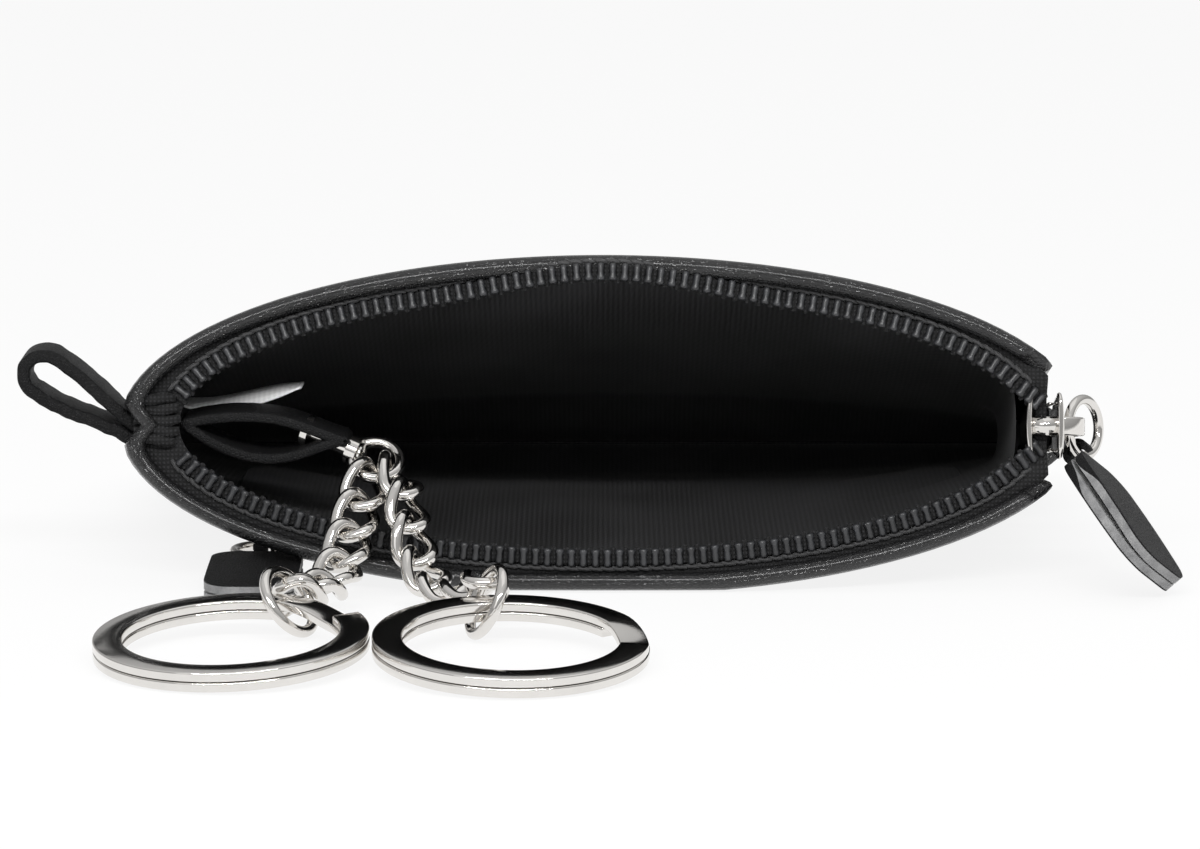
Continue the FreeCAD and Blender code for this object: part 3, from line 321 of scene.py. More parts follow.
leather = leatherFinish("blackLeather", leatherLook)
strapLeather = leatherFinish("strapLeather", strapLook)
suede = suedeFinish("cutSuede", suedeLook)
satin = liningFinish("liningSatin", liningLook)
webbing = tapeFinish("zipWebbing", tapeLook)
nylon = nylonFinish("zipNylon", nylonLook)
nickel = nickelFinish("brightNickel", nickelLook)
ribbon = ribbonFinish("whiteRibbon", ribbonLook)
thread = threadFinish("blackThread", threadLook)
print("finishes made")


# mesh helpers

def meshPiece(name, points, faces, finishes, picks=None):
    mesh = bpy.data.meshes.new(name)
    mesh.from_pydata([tuple(point) for point in points], [], faces)
    for finish in finishes:
        mesh.materials.append(finish)
    if picks:
        mesh.polygons.foreach_set("material_index", picks)
    work = bmesh.new()
    work.from_mesh(mesh)
    bmesh.ops.remove_doubles(work, verts=work.verts, dist=1e-7)
    bmesh.ops.recalc_face_normals(work, faces=work.faces)
    work.to_mesh(mesh)
    work.free()
    shadeSmooth(mesh)
    return linked(bpy.data.objects.new(name, mesh))


def linked(made):  # puts an object into the scene
    bpy.context.collection.objects.link(made)
    return made


def shadeSmooth(mesh):
    mesh.polygons.foreach_set("use_smooth", [True] * len(mesh.polygons))


def dress(piece, slotName, body, *nodes):  # a piece that stands for nodes and rides on one body
    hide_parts(*nodes)
    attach(piece, body)


def settle(piece, kind, **settings):  # adds a modifier and applies it
    modifier = piece.modifiers.new(kind.title(), kind)
    for key, value in settings.items():
        setattr(modifier, key, value)
    bpy.context.view_layer.update()
    result = bpy.data.meshes.new_from_object(piece.evaluated_get(bpy.context.evaluated_depsgraph_get()))
    piece.modifiers.clear()
    old = piece.data
    piece.data = result
    bpy.data.meshes.remove(old)
    piece.data.name = piece.name


def bevelled(piece, width, degrees):  # softens the edges that are sharper than an angle
    settle(piece, "BEVEL", width=width, segments=2, limit_method="ANGLE", angle_limit=radians(degrees))


def gridFaces(rows, columns, wrapRows=False, wrapColumns=False, first=0):
    faces = []
    for row in range(rows if wrapRows else rows - 1):
        for column in range(columns if wrapColumns else columns - 1):
            here = first + row * columns
            there = first + (row + 1) % rows * columns
            beside = (column + 1) % columns
            faces.append((here + column, here + beside, there + beside, there + column))
    return faces


def layerFaces(rows, columns):  # the two broad sides of a sheet
    under = gridFaces(rows, columns, first=rows * columns)
    return gridFaces(rows, columns) + [tuple(reversed(face)) for face in under]


def border(rows, columns):  # the corners round a grid, in order
    loop = [row * columns for row in range(rows)]
    loop += [loop[-1] + column for column in range(1, columns)]
    loop += [row * columns + columns - 1 for row in range(rows - 2, -1, -1)]
    return loop + list(range(columns - 2, 0, -1))


def slabFaces(rows, columns):  # a sheet in two layers, closed round its edge
    count = rows * columns
    loop = border(rows, columns)
    faces = layerFaces(rows, columns)
    for corner, after in zip(loop, loop[1:] + loop[:1]):
        faces.append((corner, after, count + after, count + corner))
    return faces


def capped(points, rows, columns):  # a closed sweep: rows of loops with an end face each
    faces = gridFaces(rows, columns, wrapColumns=True)
    faces.append(tuple(range(columns - 1, -1, -1)))
    faces.append(tuple(range((rows - 1) * columns, rows * columns)))
    return points, faces


def headings(path, closed=False):  # the direction at each spot of a path
    before, after = path[-1:] + path[:-1], path[1:] + path[:1]
    if not closed:
        before[0], after[-1] = path[0], path[-1]
    return [(end - start).normalized() for start, end in zip(before, after)]


def tube(path, radii, sides, steady=up, flat=1.0):
    # a tube with a radius for each spot; flat makes it wider along the steady side
    points = []
    for spot, way, radius in zip(path, headings(path), radii):
        side = across(steady, way)
        other = way.cross(side)
        points += [spot + side * (flat * radius * cos(angle)) + other * (radius * sin(angle))
                   for angle in circle(sides)]
    return capped(points, len(path), sides)


def joined(parts):  # several lists of points and faces as one
    points, faces = [], []
    for some, shapes in parts:
        base = len(points)
        points += some
        faces += [tuple(base + corner for corner in face) for face in shapes]
    return points, faces


def moved(part, matrix):
    return [matrix @ point for point in part[0]], part[1]


def roundedBox(wide, high, soft, parts=3):
    corners = []
    for signX, signY, start in ((1, 1, 0), (-1, 1, 90), (-1, -1, 180), (1, -1, 270)):
        for share in steps(parts):
            angle = radians(start + 90 * share)
            corners.append((signX * (wide / 2 - soft) + soft * cos(angle),
                            signY * (high / 2 - soft) + soft * sin(angle)))
    return corners


# the pouch: rings around a seam plane that slopes from the mouth to the back

pouch = dict(mouthHalfWidth=0.0555, mouthHalfHeight=0.0195, tilt=radians(12), lipFront=0.033,
             backY=0.033, backHalfHeight=0.005, midHalfWidth=0.0575, widestAt=0.8, corner=0.011,
             backRound=0.007, table=0.0005, wall=0.0017, underWall=0.92, slump=0.0012, lumps=0.0006,
             broadLumps=(26, 34, 3.1), fineLumps=(60, 75, 7.7), fineShare=0.5,
             notch=0.0024, notchSpread=0.0015, notchKept=0.3, notchFade=0.014, sideNotch=0.25,
             sideCut=0.0516, sideLength=0.0325, slotRound=0.004, slotCorner=0.0024,
             bead=0.00028, beadDepth=0.0011, beadInside=0.00045, lipSwell=1.1, liftFrom=0.002)

mouth = Vector((0, -pouch["lipFront"] + pouch["mouthHalfHeight"] * sin(pouch["tilt"]),
                pouch["mouthHalfHeight"] * cos(pouch["tilt"]) - pouch["table"]))
back = Vector((0, pouch["backY"], pouch["backHalfHeight"] - pouch["table"]))
seamLength = (back - mouth).length
along = (back - mouth).normalized()
rise = Vector((0, -along.z, along.y))
lipUp = Vector((0, sin(pouch["tilt"]), cos(pouch["tilt"])))
lipIn = Vector((0, cos(pouch["tilt"]), -sin(pouch["tilt"])))


def seamPoint(distance, height=0.0, x=0.0):
    return mouth + along * distance + rise * height + east * x


def halfSizes(distance, inset):
    # half width and half height of a ring, and its lean
    lean = pouch["tilt"] * (1 - distance / seamLength)
    share = min(max(distance / (pouch["widestAt"] * seamLength), 0.0), 1.0)
    wide = pouch["mouthHalfWidth"] + (pouch["midHalfWidth"] - pouch["mouthHalfWidth"]) * share
    wide -= roundedOff(pouch["corner"], distance - (seamLength - pouch["corner"]))
    high = (seamPoint(distance).z + pouch["table"]) / cos(lean)
    closing = max(distance - (seamLength - pouch["backRound"]), 0.0)
    high *= sqrt(max(1 - (closing / pouch["backRound"]) ** 2, 0.0))
    return max(wide - inset, 0.0), max(high - inset, 0.0), lean


def patch(spot, scale):  # noise over the ground plan; the third number picks the pattern
    return noise.noise(Vector((spot.x * scale[0], spot.y * scale[1], scale[2])))


def pouchPoint(distance, angle, inset):
    if inset == 0.0:  # the turned edge swells a little behind the lip
        inset = -pouch["bead"] * exp(-((distance - pouch["beadDepth"]) / pouch["beadDepth"]) ** 2)
    elif inset == pouch["wall"]:
        inset += pouch["beadInside"] * exp(-(distance / pouch["beadDepth"]) ** 2)
    wide, high, lean = halfSizes(distance, inset)
    x = wide * cos(angle)
    height = high * sin(angle)
    dip = pouch["notch"] * exp(-(height / pouch["notchSpread"]) ** 2)
    if cos(angle) < 0:  # the two halves dip in to the left seam
        kept = pouch["notchKept"]
        x += dip * (kept + (1 - kept) * (1 - smooth(distance / pouch["notchFade"])))
    elif distance > pouch["sideLength"]:
        x -= pouch["sideNotch"] * dip
    spot = seamPoint(distance) + east * x + Vector((0, sin(lean), cos(lean))) * height
    share = min(max(distance / seamLength, 0.0), 1.0)
    soft = sin(pi * share) * max(sin(angle), 0.0)
    spot.z -= pouch["slump"] * soft
    ripple = patch(spot, pouch["broadLumps"]) + pouch["fineShare"] * patch(spot, pouch["fineLumps"])
    spot.z += pouch["lumps"] * ripple * soft
    spot.z = max(spot.z, pouch["underWall"] * max(inset, 0.0))
    return spot


def slotAngle(distance):
    # half the angle that the side zip leaves open
    if distance >= pouch["sideLength"]:
        return 0.0
    edge = pouch["sideCut"] - roundedOff(pouch["slotCorner"], pouch["slotCorner"] - distance)
    opened = acos(min(edge / halfSizes(distance, 0.0)[0], 1.0))
    left = (pouch["sideLength"] - distance) / pouch["slotRound"]
    return opened * sqrt(max(1 - max(1 - left, 0.0) ** 2, 0.0))


opening = dict(halfLength=0.043, halfWidth=0.0033, y=-0.019, low=-0.004, high=0.011, parts=8)


def pocketOpening(piece):
    # cuts the slot of the pocket's zip through the underside
    loop = []
    straight = opening["halfLength"] - opening["halfWidth"]
    for side in (1.0, -1.0):
        for share in steps(opening["parts"]):
            angle = pi * (share - 0.5)
            loop.append((side * (straight + opening["halfWidth"] * cos(angle)),
                         opening["y"] + side * opening["halfWidth"] * sin(angle)))
    points = [Vector((x, y, z)) for z in (opening["low"], opening["high"]) for x, y in loop]
    cutter = meshPiece("cutter", *capped(points, 2, len(loop)), [])
    settle(piece, "BOOLEAN", operation="DIFFERENCE", object=cutter, solver="EXACT")
    bpy.data.objects.remove(cutter)
    shadeSmooth(piece.data)


def addRoll(points, first, last, bulge, turns=5):
    # a half round from a corner on the outer face to one on the inner face, as a ring of corners
    middle = (points[first] + points[last]) * 0.5
    radius = (points[first] - points[last]) * 0.5
    start = len(points)
    for step in range(1, turns):
        angle = pi * step / turns
        points.append(middle + radius * cos(angle) + bulge * (radius.length * sin(angle)))
    return [first, *range(start, len(points)), last]


def bridge(rings):  # faces from ring to ring, which may share corners
    faces = []
    for ring, following in zip(rings, rings[1:]):
        for step in range(len(ring) - 1):
            corners = (ring[step], following[step], following[step + 1], ring[step + 1])
            faces.append(tuple(dict.fromkeys(corners)))
    return faces


# how deep the rings of the mesh lie, closer together at the lip and at the end of the side zip
ringDepths = [0.0, 0.0006, 0.0016, 0.003, 0.005, 0.0075, 0.0105, 0.014, 0.018, 0.022, 0.026, 0.0285,
              0.0302, 0.0314, 0.032, 0.0325, 0.0335, 0.036, 0.039, 0.042, 0.045, 0.0475, 0.0495]
pouchMesh = dict(tailRings=9, angles=132, gather=0.1125, cornerParts=4)


def leatherPouch():
    # shares of the way round from slot edge to slot edge, closer together at the left seam
    shares = [share + pouchMesh["gather"] * sin(4 * pi * share) / pi for share in steps(pouchMesh["angles"])]
    tail = seamLength - ringDepths[-1]
    tailShares = steps(pouchMesh["tailRings"])[1:]
    depths = ringDepths + [ringDepths[-1] + tail * sin(0.5 * pi * share) for share in tailShares]
    points = []
    for squeeze, inset in ((1.0, 0.0), (1 - pouch["wall"] / seamLength, pouch["wall"])):
        for depth in depths:
            half = slotAngle(depth)
            points += [pouchPoint(depth * squeeze, half + (tau - 2 * half) * share, inset)
                       for share in shares]
    columns = len(shares)
    second = len(depths) * columns
    faces = layerFaces(len(depths), columns)
    # the turned edge: a half round from the outer face to the inner one, at the lip and along the slot
    swell = lipIn * -pouch["lipSwell"]
    lip = [addRoll(points, column, second + column, swell) for column in range(columns)]
    faces += bridge(lip)
    for column, beside in ((0, 1), (columns - 1, columns - 2)):
        slot = []
        for row, depth in enumerate(depths):
            if depth <= pouch["sideLength"]:
                first = row * columns + column
                outwards = (points[first] - points[row * columns + beside]).normalized()
                spare = slotAngle(depth) / slotAngle(0.0)
                slot.append(addRoll(points, first, second + first, outwards * spare))
        corner = [lip[column]]  # where the lip's roll meets the slot's
        outwards = (points[column] - points[beside]).normalized()
        for share in steps(pouchMesh["cornerParts"])[1:-1]:
            lean = 0.5 * pi * share
            bulge = outwards * sin(lean) + swell * cos(lean)
            corner.append(addRoll(points, column, second + column, bulge))
        faces += bridge(slot) + bridge(corner + slot[:1])
    piece = meshPiece("leatherPouch", points, faces, [leather])
    pocketOpening(piece)
    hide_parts("upper_panel", "lower_panel")
    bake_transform(piece)


leatherPouch()
print("leather pouch made")

lining = dict(start=0.0022, upper=0.0021, lower=0.0042, sideWall=0.0482, sideTurn=0.004, sideFade=0.008,
              fold=0.0016, foldAcross=0.35, looseSpan=0.8, broadFolds=(34, 16, 12), broadMore=0.15,
              upperPattern=5.0, lowerPattern=9.0, fineFolds=(75, 30, 2.2), fineShare=0.4,
              backGap=0.004, pinch=0.94, pinchFrom=0.78, rings=46, angles=150)


def foldAt(spot, pattern):  # broad slanting folds and fine ones in the loose cloth
    x, slant, y = lining["broadFolds"]
    broad = noise.noise(Vector((spot.x * x + spot.y * slant, spot.y * y, pattern)))
    fine = patch(spot, lining["fineFolds"])
    return max(broad + lining["broadMore"], 0.0) + lining["fineShare"] * max(fine, 0.0)


def liningPoint(share, angle):
    distance = lining["start"] + (seamLength - lining["backGap"] - lining["start"]) * share
    middle, spread = 0.5 * (lining["upper"] + lining["lower"]), 0.5 * (lining["lower"] - lining["upper"])
    spot = pouchPoint(distance, angle, middle - spread * sin(angle))
    inward = seamPoint(distance) - spot
    inward.x *= lining["foldAcross"]
    loose = sin(pi * min(share / lining["looseSpan"], 1.0)) * sqrt(abs(sin(angle)))
    pattern = lining["upperPattern" if angle < pi else "lowerPattern"]
    spot += inward.normalized() * (lining["fold"] * loose * foldAt(spot, pattern))
    past = spot.x - lining["sideWall"] + lining["sideTurn"]
    if past > 0:  # it turns in before the side zip
        turned = lining["sideWall"] - lining["sideTurn"] * exp(-past / lining["sideTurn"])
        spot.x += (turned - spot.x) * (1 - smooth((distance - pouch["sideLength"]) / lining["sideFade"]))
    closing = smooth((share - lining["pinchFrom"]) / (1 - lining["pinchFrom"]))
    spot.z += (seamPoint(distance).z - spot.z) * lining["pinch"] * closing
    return spot


def liningBag():
    rings, angles = lining["rings"], lining["angles"]
    points = [liningPoint(share, angle) for share in steps(rings) for angle in circle(angles)]
    faces = gridFaces(rings + 1, angles, wrapColumns=True)
    last = rings * angles
    for column in range(1, angles // 2):  # the far seam closes the bag
        opposite = angles - column
        faces.append((last + column - 1, last + column, last + opposite, last + (opposite + 1) % angles))
    piece = meshPiece("liningBag", points, faces, [satin])
    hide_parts("upper_lining", "lower_lining")
    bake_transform(piece)


liningBag()
print("lining made")

# the zip round the mouth

zipper = dict(pitch=0.00138, tapeThick=0.0005, tapeIn=0.00105, tapeOut=0.0014, tapeKnee=0.4,
              tapeClose=0.001, tapeLeft=0.01, depth=0.0007, row=(0.0056, 0.0042), upperRow=0.0035,
              upperRise=0.0016, upperFront=0.0017, riseWidth=0.024, closeBy=0.0027, dive=0.0024,
              diveFrom=0.0062, diveRun=0.0035, reachOut=0.0012, rightEdge=0.0513, leftEnd=-0.0487,
              tooth=(0.00098, 0.00205, 0.00115), loop=(0.0008, 0.0021, 0.00045), loopIn=0.00022,
              cord=0.00026, cordOut=0.00125, cordLength=1.25, cordSlant=0.9, cordArch=(0.7, 0.5),
              cordEnds=(0.45, 0.08))
zipMesh = dict(tapeRows=120, tapeBands=5, walk=4000, ahead=0.001, stripRows=40, stripBands=3,
               cordSteps=6, cordSides=8)


def mouthPoint(angle, insetX, insetHeight, depth):
    return (mouth + east * ((pouch["mouthHalfWidth"] - insetX) * cos(angle))
            + lipUp * ((pouch["mouthHalfHeight"] - insetHeight) * sin(angle)) + lipIn * depth)


def diving(angle):  # how far along the zip is on its way into the slider
    height = abs(pouch["mouthHalfHeight"] * sin(angle))
    return smooth((zipper["diveFrom"] - height) / zipper["diveRun"]) if cos(angle) > 0 else 0.0


def rowPoint(angle, side, extra=0.0, behind=0.0):
    # a spot on the row of teeth; the upper row comes up in front of the lip at the middle
    height, depth = zipper["row"][1], zipper["depth"]
    if side > 0:
        near = 1 - smooth(abs(cos(angle)) * pouch["mouthHalfWidth"] / zipper["riseWidth"])
        height = zipper["upperRow"] - zipper["upperRise"] * near
        depth -= zipper["upperFront"] * near
    dive = diving(angle)
    spot = mouthPoint(angle, zipper["row"][0] + extra, height + extra, depth + behind)
    return spot + lipIn * (zipper["dive"] * dive) + east * (zipper["reachOut"] * dive)


def mouthTape(name, side):
    first = asin(zipper["tapeClose"] / (pouch["mouthHalfHeight"] - zipper["row"][1]))
    last = pi - zipper["tapeLeft"]
    rows, bands, bend = zipMesh["tapeRows"], zipMesh["tapeBands"], zipper["tapeKnee"]
    points = []
    for layer in (0.0, zipper["tapeThick"]):
        for reach in steps(rows):
            angle = side * (first + (last - first) * reach)
            inner = rowPoint(angle, side, zipper["tapeIn"], layer)
            knee = rowPoint(angle, side, -zipper["tapeIn"], layer)
            outer = mouthPoint(angle, zipper["tapeOut"], zipper["tapeOut"],
                               zipper["depth"] + layer + zipper["dive"] * diving(angle))
            for share in steps(bands):
                if share < bend:
                    spot = outer.lerp(knee, share / bend)
                else:
                    spot = knee.lerp(inner, (share - bend) / (1 - bend))
                spot.x = min(spot.x, zipper["rightEdge"])
                points.append(spot)
    return meshPiece(name, points, slabFaces(rows + 1, bands + 1), [webbing])


# outlines of a bar of the coil: place along it, width and height as shares
headed = [(-0.5, 0.5, 0.5), (-0.44, 0.8, 0.75), (-0.25, 0.86, 0.88), (0.05, 0.74, 0.86), (0.2, 0.86, 0.95),
          (0.32, 1.12, 1.08), (0.42, 1.08, 1.02), (0.48, 0.74, 0.7), (0.5, 0.4, 0.4)]
plain = [(-0.5, 0.6, 0.5), (-0.4, 1.0, 0.9), (0.0, 0.95, 1.0), (0.3, 1.0, 1.0), (0.44, 0.8, 0.75),
         (0.5, 0.4, 0.4)]


def coilBar(size, profile, sides=10):
    # a rounded bar of the coil: X along the row, Y across, Z off the tape
    width, length, height = size
    points = []
    for place, wide, high in profile:
        for turn in circle(sides):
            x, z = 0.5 * width * wide * cos(turn), 0.5 * height * (1 + high * sin(turn))
            points.append(Vector((x, length * place, z)))
    return capped(points, len(profile), sides)


def swelling(share, ends, trim):  # how thick a soft bead is along it: less at its ends, one at its middle
    return ends + (1 - ends) * sin(pi * (trim + (1 - 2 * trim) * share))


def cordBead():
    # one stitch of the cord sewn along the feet of the teeth
    cord, (foot, arch) = zipper["cord"], zipper["cordArch"]
    length, slant = zipper["cordLength"] * zipper["pitch"], zipper["cordSlant"] * cord
    shares = steps(zipMesh["cordSteps"])
    path = [Vector((length * (share - 0.5), slant * (0.5 - share), cord * (foot + arch * sin(pi * share))))
            for share in shares]
    return tube(path, [cord * swelling(share, *zipper["cordEnds"]) for share in shares],
                zipMesh["cordSides"])


def mouthTeeth(name, side):
    tooth, loop, cord = coilBar(zipper["tooth"], headed), coilBar(zipper["loop"], plain), cordBead()
    pitch = zipper["pitch"]
    travelled, wanted, before = 0.0, 0.5 * pitch, None
    bars, loops, cords = [], [], []
    for share in steps(zipMesh["walk"]):
        angle = side * pi * share
        spot = rowPoint(angle, side)
        if before is not None:
            travelled += (spot - before).length
        before = spot
        if travelled < wanted:
            continue
        wanted += pitch
        inSlider = spot.x > 0 and abs((spot - mouth).dot(lipUp)) < zipper["closeBy"]
        if spot.x < zipper["leftEnd"] or inSlider:
            continue
        run = (rowPoint(angle + side * zipMesh["ahead"], side) - spot).normalized()
        out = across(lipIn * -1.0, run)
        inwards = out.cross(run)
        if inwards.dot(mouth - spot) < 0:
            inwards, run = inwards * -1.0, run * -1.0
        here = placed(spot, run, inwards, out)
        bars.append(moved(tooth, here))
        loops.append(moved(loop, here @ Matrix.Translation((0.5 * pitch, zipper["loopIn"], 0.0))))
        cords.append(moved(cord, here @ Matrix.Translation((0.0, -zipper["cordOut"], 0.0))))
    layers = [joined(part) for part in (bars, loops, cords)]
    picks = [index for index, layer in enumerate(layers) for face in layer[1]]
    return meshPiece(name, *joined(layers), [nylon, webbing, thread], picks)


for half, side in (("upper", 1.0), ("lower", -1.0)):
    for maker, kind in ((mouthTape, "tape"), (mouthTeeth, "teeth")):
        made = maker("%sZip%s" % (half, kind.title()), side)
        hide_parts("%s_zip_%s" % (half, kind))
        if half == "upper":
            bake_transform(made)
        else:
            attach(made, "pouch")
print("mouth zip made")

zipEnd = dict(x=-0.0513, height=0.0006, depth=-0.0001, ribs=5, ribStep=0.00118, ribLength=0.0038,
              ribRadius=0.00068, ribEnds=(0.55, 0.12), bow=0.0006, sag=0.0006, wander=0.0002,
              waves=5, parts=8, sides=10)


def zipEndFold():
    # the folded end of the zip: short ribs of tape, one over the other
    parts = []
    shares = steps(zipEnd["parts"])
    radii = [zipEnd["ribRadius"] * swelling(share, *zipEnd["ribEnds"]) for share in shares]
    for index in range(zipEnd["ribs"]):
        height = zipEnd["height"] + (index - 0.5 * (zipEnd["ribs"] - 1)) * zipEnd["ribStep"]
        bow = zipEnd["bow"] * (1 - (2 * index / (zipEnd["ribs"] - 1) - 1) ** 2)
        path = [mouth + east * (zipEnd["x"] + zipEnd["ribLength"] * (share - 0.5) + bow)
                + lipUp * (height + zipEnd["wander"] * sin(zipEnd["waves"] * share + index))
                + lipIn * (zipEnd["depth"] + zipEnd["sag"] * (2 * share - 1) ** 2) for share in shares]
        parts.append(tube(path, radii, zipEnd["sides"]))
    dress(meshPiece("zipEndFold", *joined(parts), [webbing]), "zip_tape", "pouch", "zip_end_tack")


zipEndFold()

# the side length of the zip and the zip of the pocket underneath

sideZip = dict(x=0.0502, begin=0.0064, end=0.0314, bare=0.003, slit=0.0013, half=0.0046, thick=0.0006,
               row=0.00095, toothGap=0.00005, tooth=(0.00118, 0.0029, 0.00125),
               sliderFrom=0.001, sliderGap=0.00175, bow=0.0029)


def strip(frameAt, low, high, thick):
    # a flat band: frameAt(share) gives origin, off-face and across directions
    points = []
    rows, bands = zipMesh["stripRows"], zipMesh["stripBands"]
    for layer in (0.0, thick):
        for share in steps(rows):
            origin, off, cross = frameAt(share)
            points += [origin + off * layer + cross * (low + (high - low) * part) for part in steps(bands)]
    return points, slabFaces(rows + 1, bands + 1)


def closedZip(name, frameAt, length, sizes):
    tape = joined([strip(frameAt, sizes["slit"], sizes["half"], sizes["thick"]),
                   strip(frameAt, -sizes["half"], -sizes["slit"], sizes["thick"])])
    tooth = coilBar(sizes["tooth"], headed)
    count = 2 * int(length / zipper["pitch"])
    teeth = []
    for index in range(count):
        side = 1.0 if index % 2 else -1.0
        origin, off, cross = frameAt((index + 0.5) / count)
        inwards = cross * -side
        spot = origin + off * (sizes["thick"] + sizes["toothGap"]) + cross * (side * sizes["row"])
        teeth.append(moved(tooth, placed(spot, inwards.cross(off), inwards, off)))
    for kind, part, finish in (("tape", tape, webbing), ("teeth", joined(teeth), nylon)):
        piece = meshPiece(name + kind.title(), *part, [finish])
        dress(piece, "zip_%s" % kind, "pouch", "%s_zip_%s" % (name, kind))


def sideFrame(share):
    distance = sideZip["begin"] + (sideZip["end"] - sideZip["begin"]) * share
    return seamPoint(distance, 0.0, sideZip["x"]), east, rise


closedZip("side", sideFrame, sideZip["end"] - sideZip["begin"] - sideZip["bare"], sideZip)

pocketCentre = jointSpot("pocket_zip_slide")
pocket = dict(radius=pocketCentre.z + 0.0005, depth=0.0015, startX=-0.0352, endX=0.0386, slit=0.0013,
              half=0.0031, thick=0.0004, row=0.00095, toothGap=0.00005, tooth=(0.00118, 0.0029, 0.00095),
              clear=0.0001, sliderX=-0.0365, sliderGap=0.00165, bow=0.00239)
pocketStart, pocketEnd, pocketBow = [asin(pocket[key] / pocket["radius"])
                                     for key in ("startX", "endX", "sliderX")]


def pocketSpot(angle):  # a spot on the pocket's circle, the way down and the way across
    down = Vector((sin(angle), 0, -cos(angle)))
    spot = pocketCentre + down * (pocket["radius"] - pocket["depth"])
    lowest = spot.z - pocket["thick"] - pocket["toothGap"] - pocket["tooth"][2]
    spot.z += max(pocket["clear"] - lowest, 0.0)  # the pouch presses the teeth up level with the table
    return spot, down, north


def pocketFrame(share):
    return pocketSpot(pocketStart + (pocketEnd - pocketStart) * share)


closedZip("pocket", pocketFrame, pocket["radius"] * (pocketEnd - pocketStart), pocket)
print("side and pocket zips made")

# metal: chains, swivel, wire rings and stops keep their solids

for name, solid in frame["nodes"].items():
    if any(word in name for word in ("chain_link", "jump_ring", "pull_ring", "swivel", "stop")):
        solid.data.materials.clear()
        solid.data.materials.append(nickel)
        shadeSmooth(solid.data)


splitRing = dict(outer=0.015, band=0.0032, turn=0.00105, air=0.00008, climb=radians(34),
                 gap=radians(7), edge=0.0002, bevel=0.00012, bevelFrom=50, parts=190,
                 left=radians(66), right=radians(34))


def splitRingPiece(side):
    node = "%s_split_ring" % side
    low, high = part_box(node)
    centre = (low + high) * 0.5
    forward = (centre - jointSpot(node + "_lift")).normalized()
    normal = across(up, forward)
    sideways = normal.cross(forward)
    wireEnd = Vector((cos(splitRing[side]), sin(splitRing[side]), 0))
    start = atan2(wireEnd.dot(sideways), wireEnd.dot(forward))
    profile = roundedBox(splitRing["band"], splitRing["turn"], splitRing["edge"])
    middle = splitRing["outer"] - 0.5 * splitRing["band"]
    reach = 2 * tau - splitRing["climb"] - splitRing["gap"]
    points = []
    for share in steps(splitRing["parts"]):
        angle = reach * share
        climbed = smooth((angle - tau + splitRing["climb"]) / splitRing["climb"])
        height = (climbed - 0.5) * (splitRing["turn"] + splitRing["air"])
        radial = forward * cos(angle + start) + sideways * sin(angle + start)
        points += [centre + radial * (middle + wide) + normal * (height + tall) for wide, tall in profile]
    piece = meshPiece(side + "SplitRing", *capped(points, splitRing["parts"] + 1, len(profile)), [nickel])
    bevelled(piece, splitRing["bevel"], splitRing["bevelFrom"])
    dress(piece, "nickel", node, node)


for side in ("left", "right"):
    splitRingPiece(side)
print("split rings made")

# post: distance from the wide end and half width, down the slider's middle
slider = dict(length=0.009, front=0.0041, rear=0.0029, plate=0.00075, clearance=0.00035, corner=0.0016,
              crown=0.00035, post=((0.0002, 0.0008), (0.0012, 0.0011), (0.0026, 0.0011), (0.0045, 0.0003)),
              plateSquare=0.75, plateEdge=0.45, plateTip=0.04, rows=26, sides=20, sunk=0.0003,
              bowThick=0.0009, bowWidth=0.0022, bowEdge=0.00028, bowParts=20, bowFoot=2,
              rim=0.0002, rimIn=0.0002, rimFlat=2.0, rimFrom=0.55, rimParts=10, rimSides=12, upperCrown=0.5)


def sliderPlate(place, base, outward):
    # a crowned plate with rounded corners; its own X points off the zip and Y to the narrow end
    rows, sides = slider["rows"], slider["sides"]
    length, corner, plate = slider["length"], slider["corner"], slider["plate"]
    points = []
    for row in steps(rows):
        share = 0.5 - 0.5 * cos(pi * row)
        y = length * share
        near = min(y, length - y)
        half = slider["front"] + (slider["rear"] - slider["front"]) * share
        half -= roundedOff(corner, corner - near)
        thick = plate * sqrt(max(1 - max(1 - near / (0.5 * plate), 0.0) ** 2, slider["plateTip"]))
        for angle in circle(sides):
            z = half * boxy(cos(angle), slider["plateSquare"])
            x = 0.5 * thick * boxy(sin(angle), slider["plateEdge"])
            dome = slider["crown"] * (1 - (z / slider["front"]) ** 2)
            points.append(place @ Vector((base + x + outward * dome, y, z)))
    return capped(points, rows + 1, sides)


def sliderBow(place, centre, radius):  # the arch that holds the pull's ring
    profile = roundedBox(slider["bowThick"], slider["bowWidth"], slider["bowEdge"])
    parts, foot = slider["bowParts"], slider["bowFoot"]
    angles = [pi * part / parts for part in range(-foot, parts + foot + 1)]
    points = []
    for angle in angles:
        spoke = Vector((sin(angle), -cos(angle), 0))
        points += [place @ (centre + spoke * (radius + wide) + up * tall) for wide, tall in profile]
    return capped(points, len(angles), len(profile))


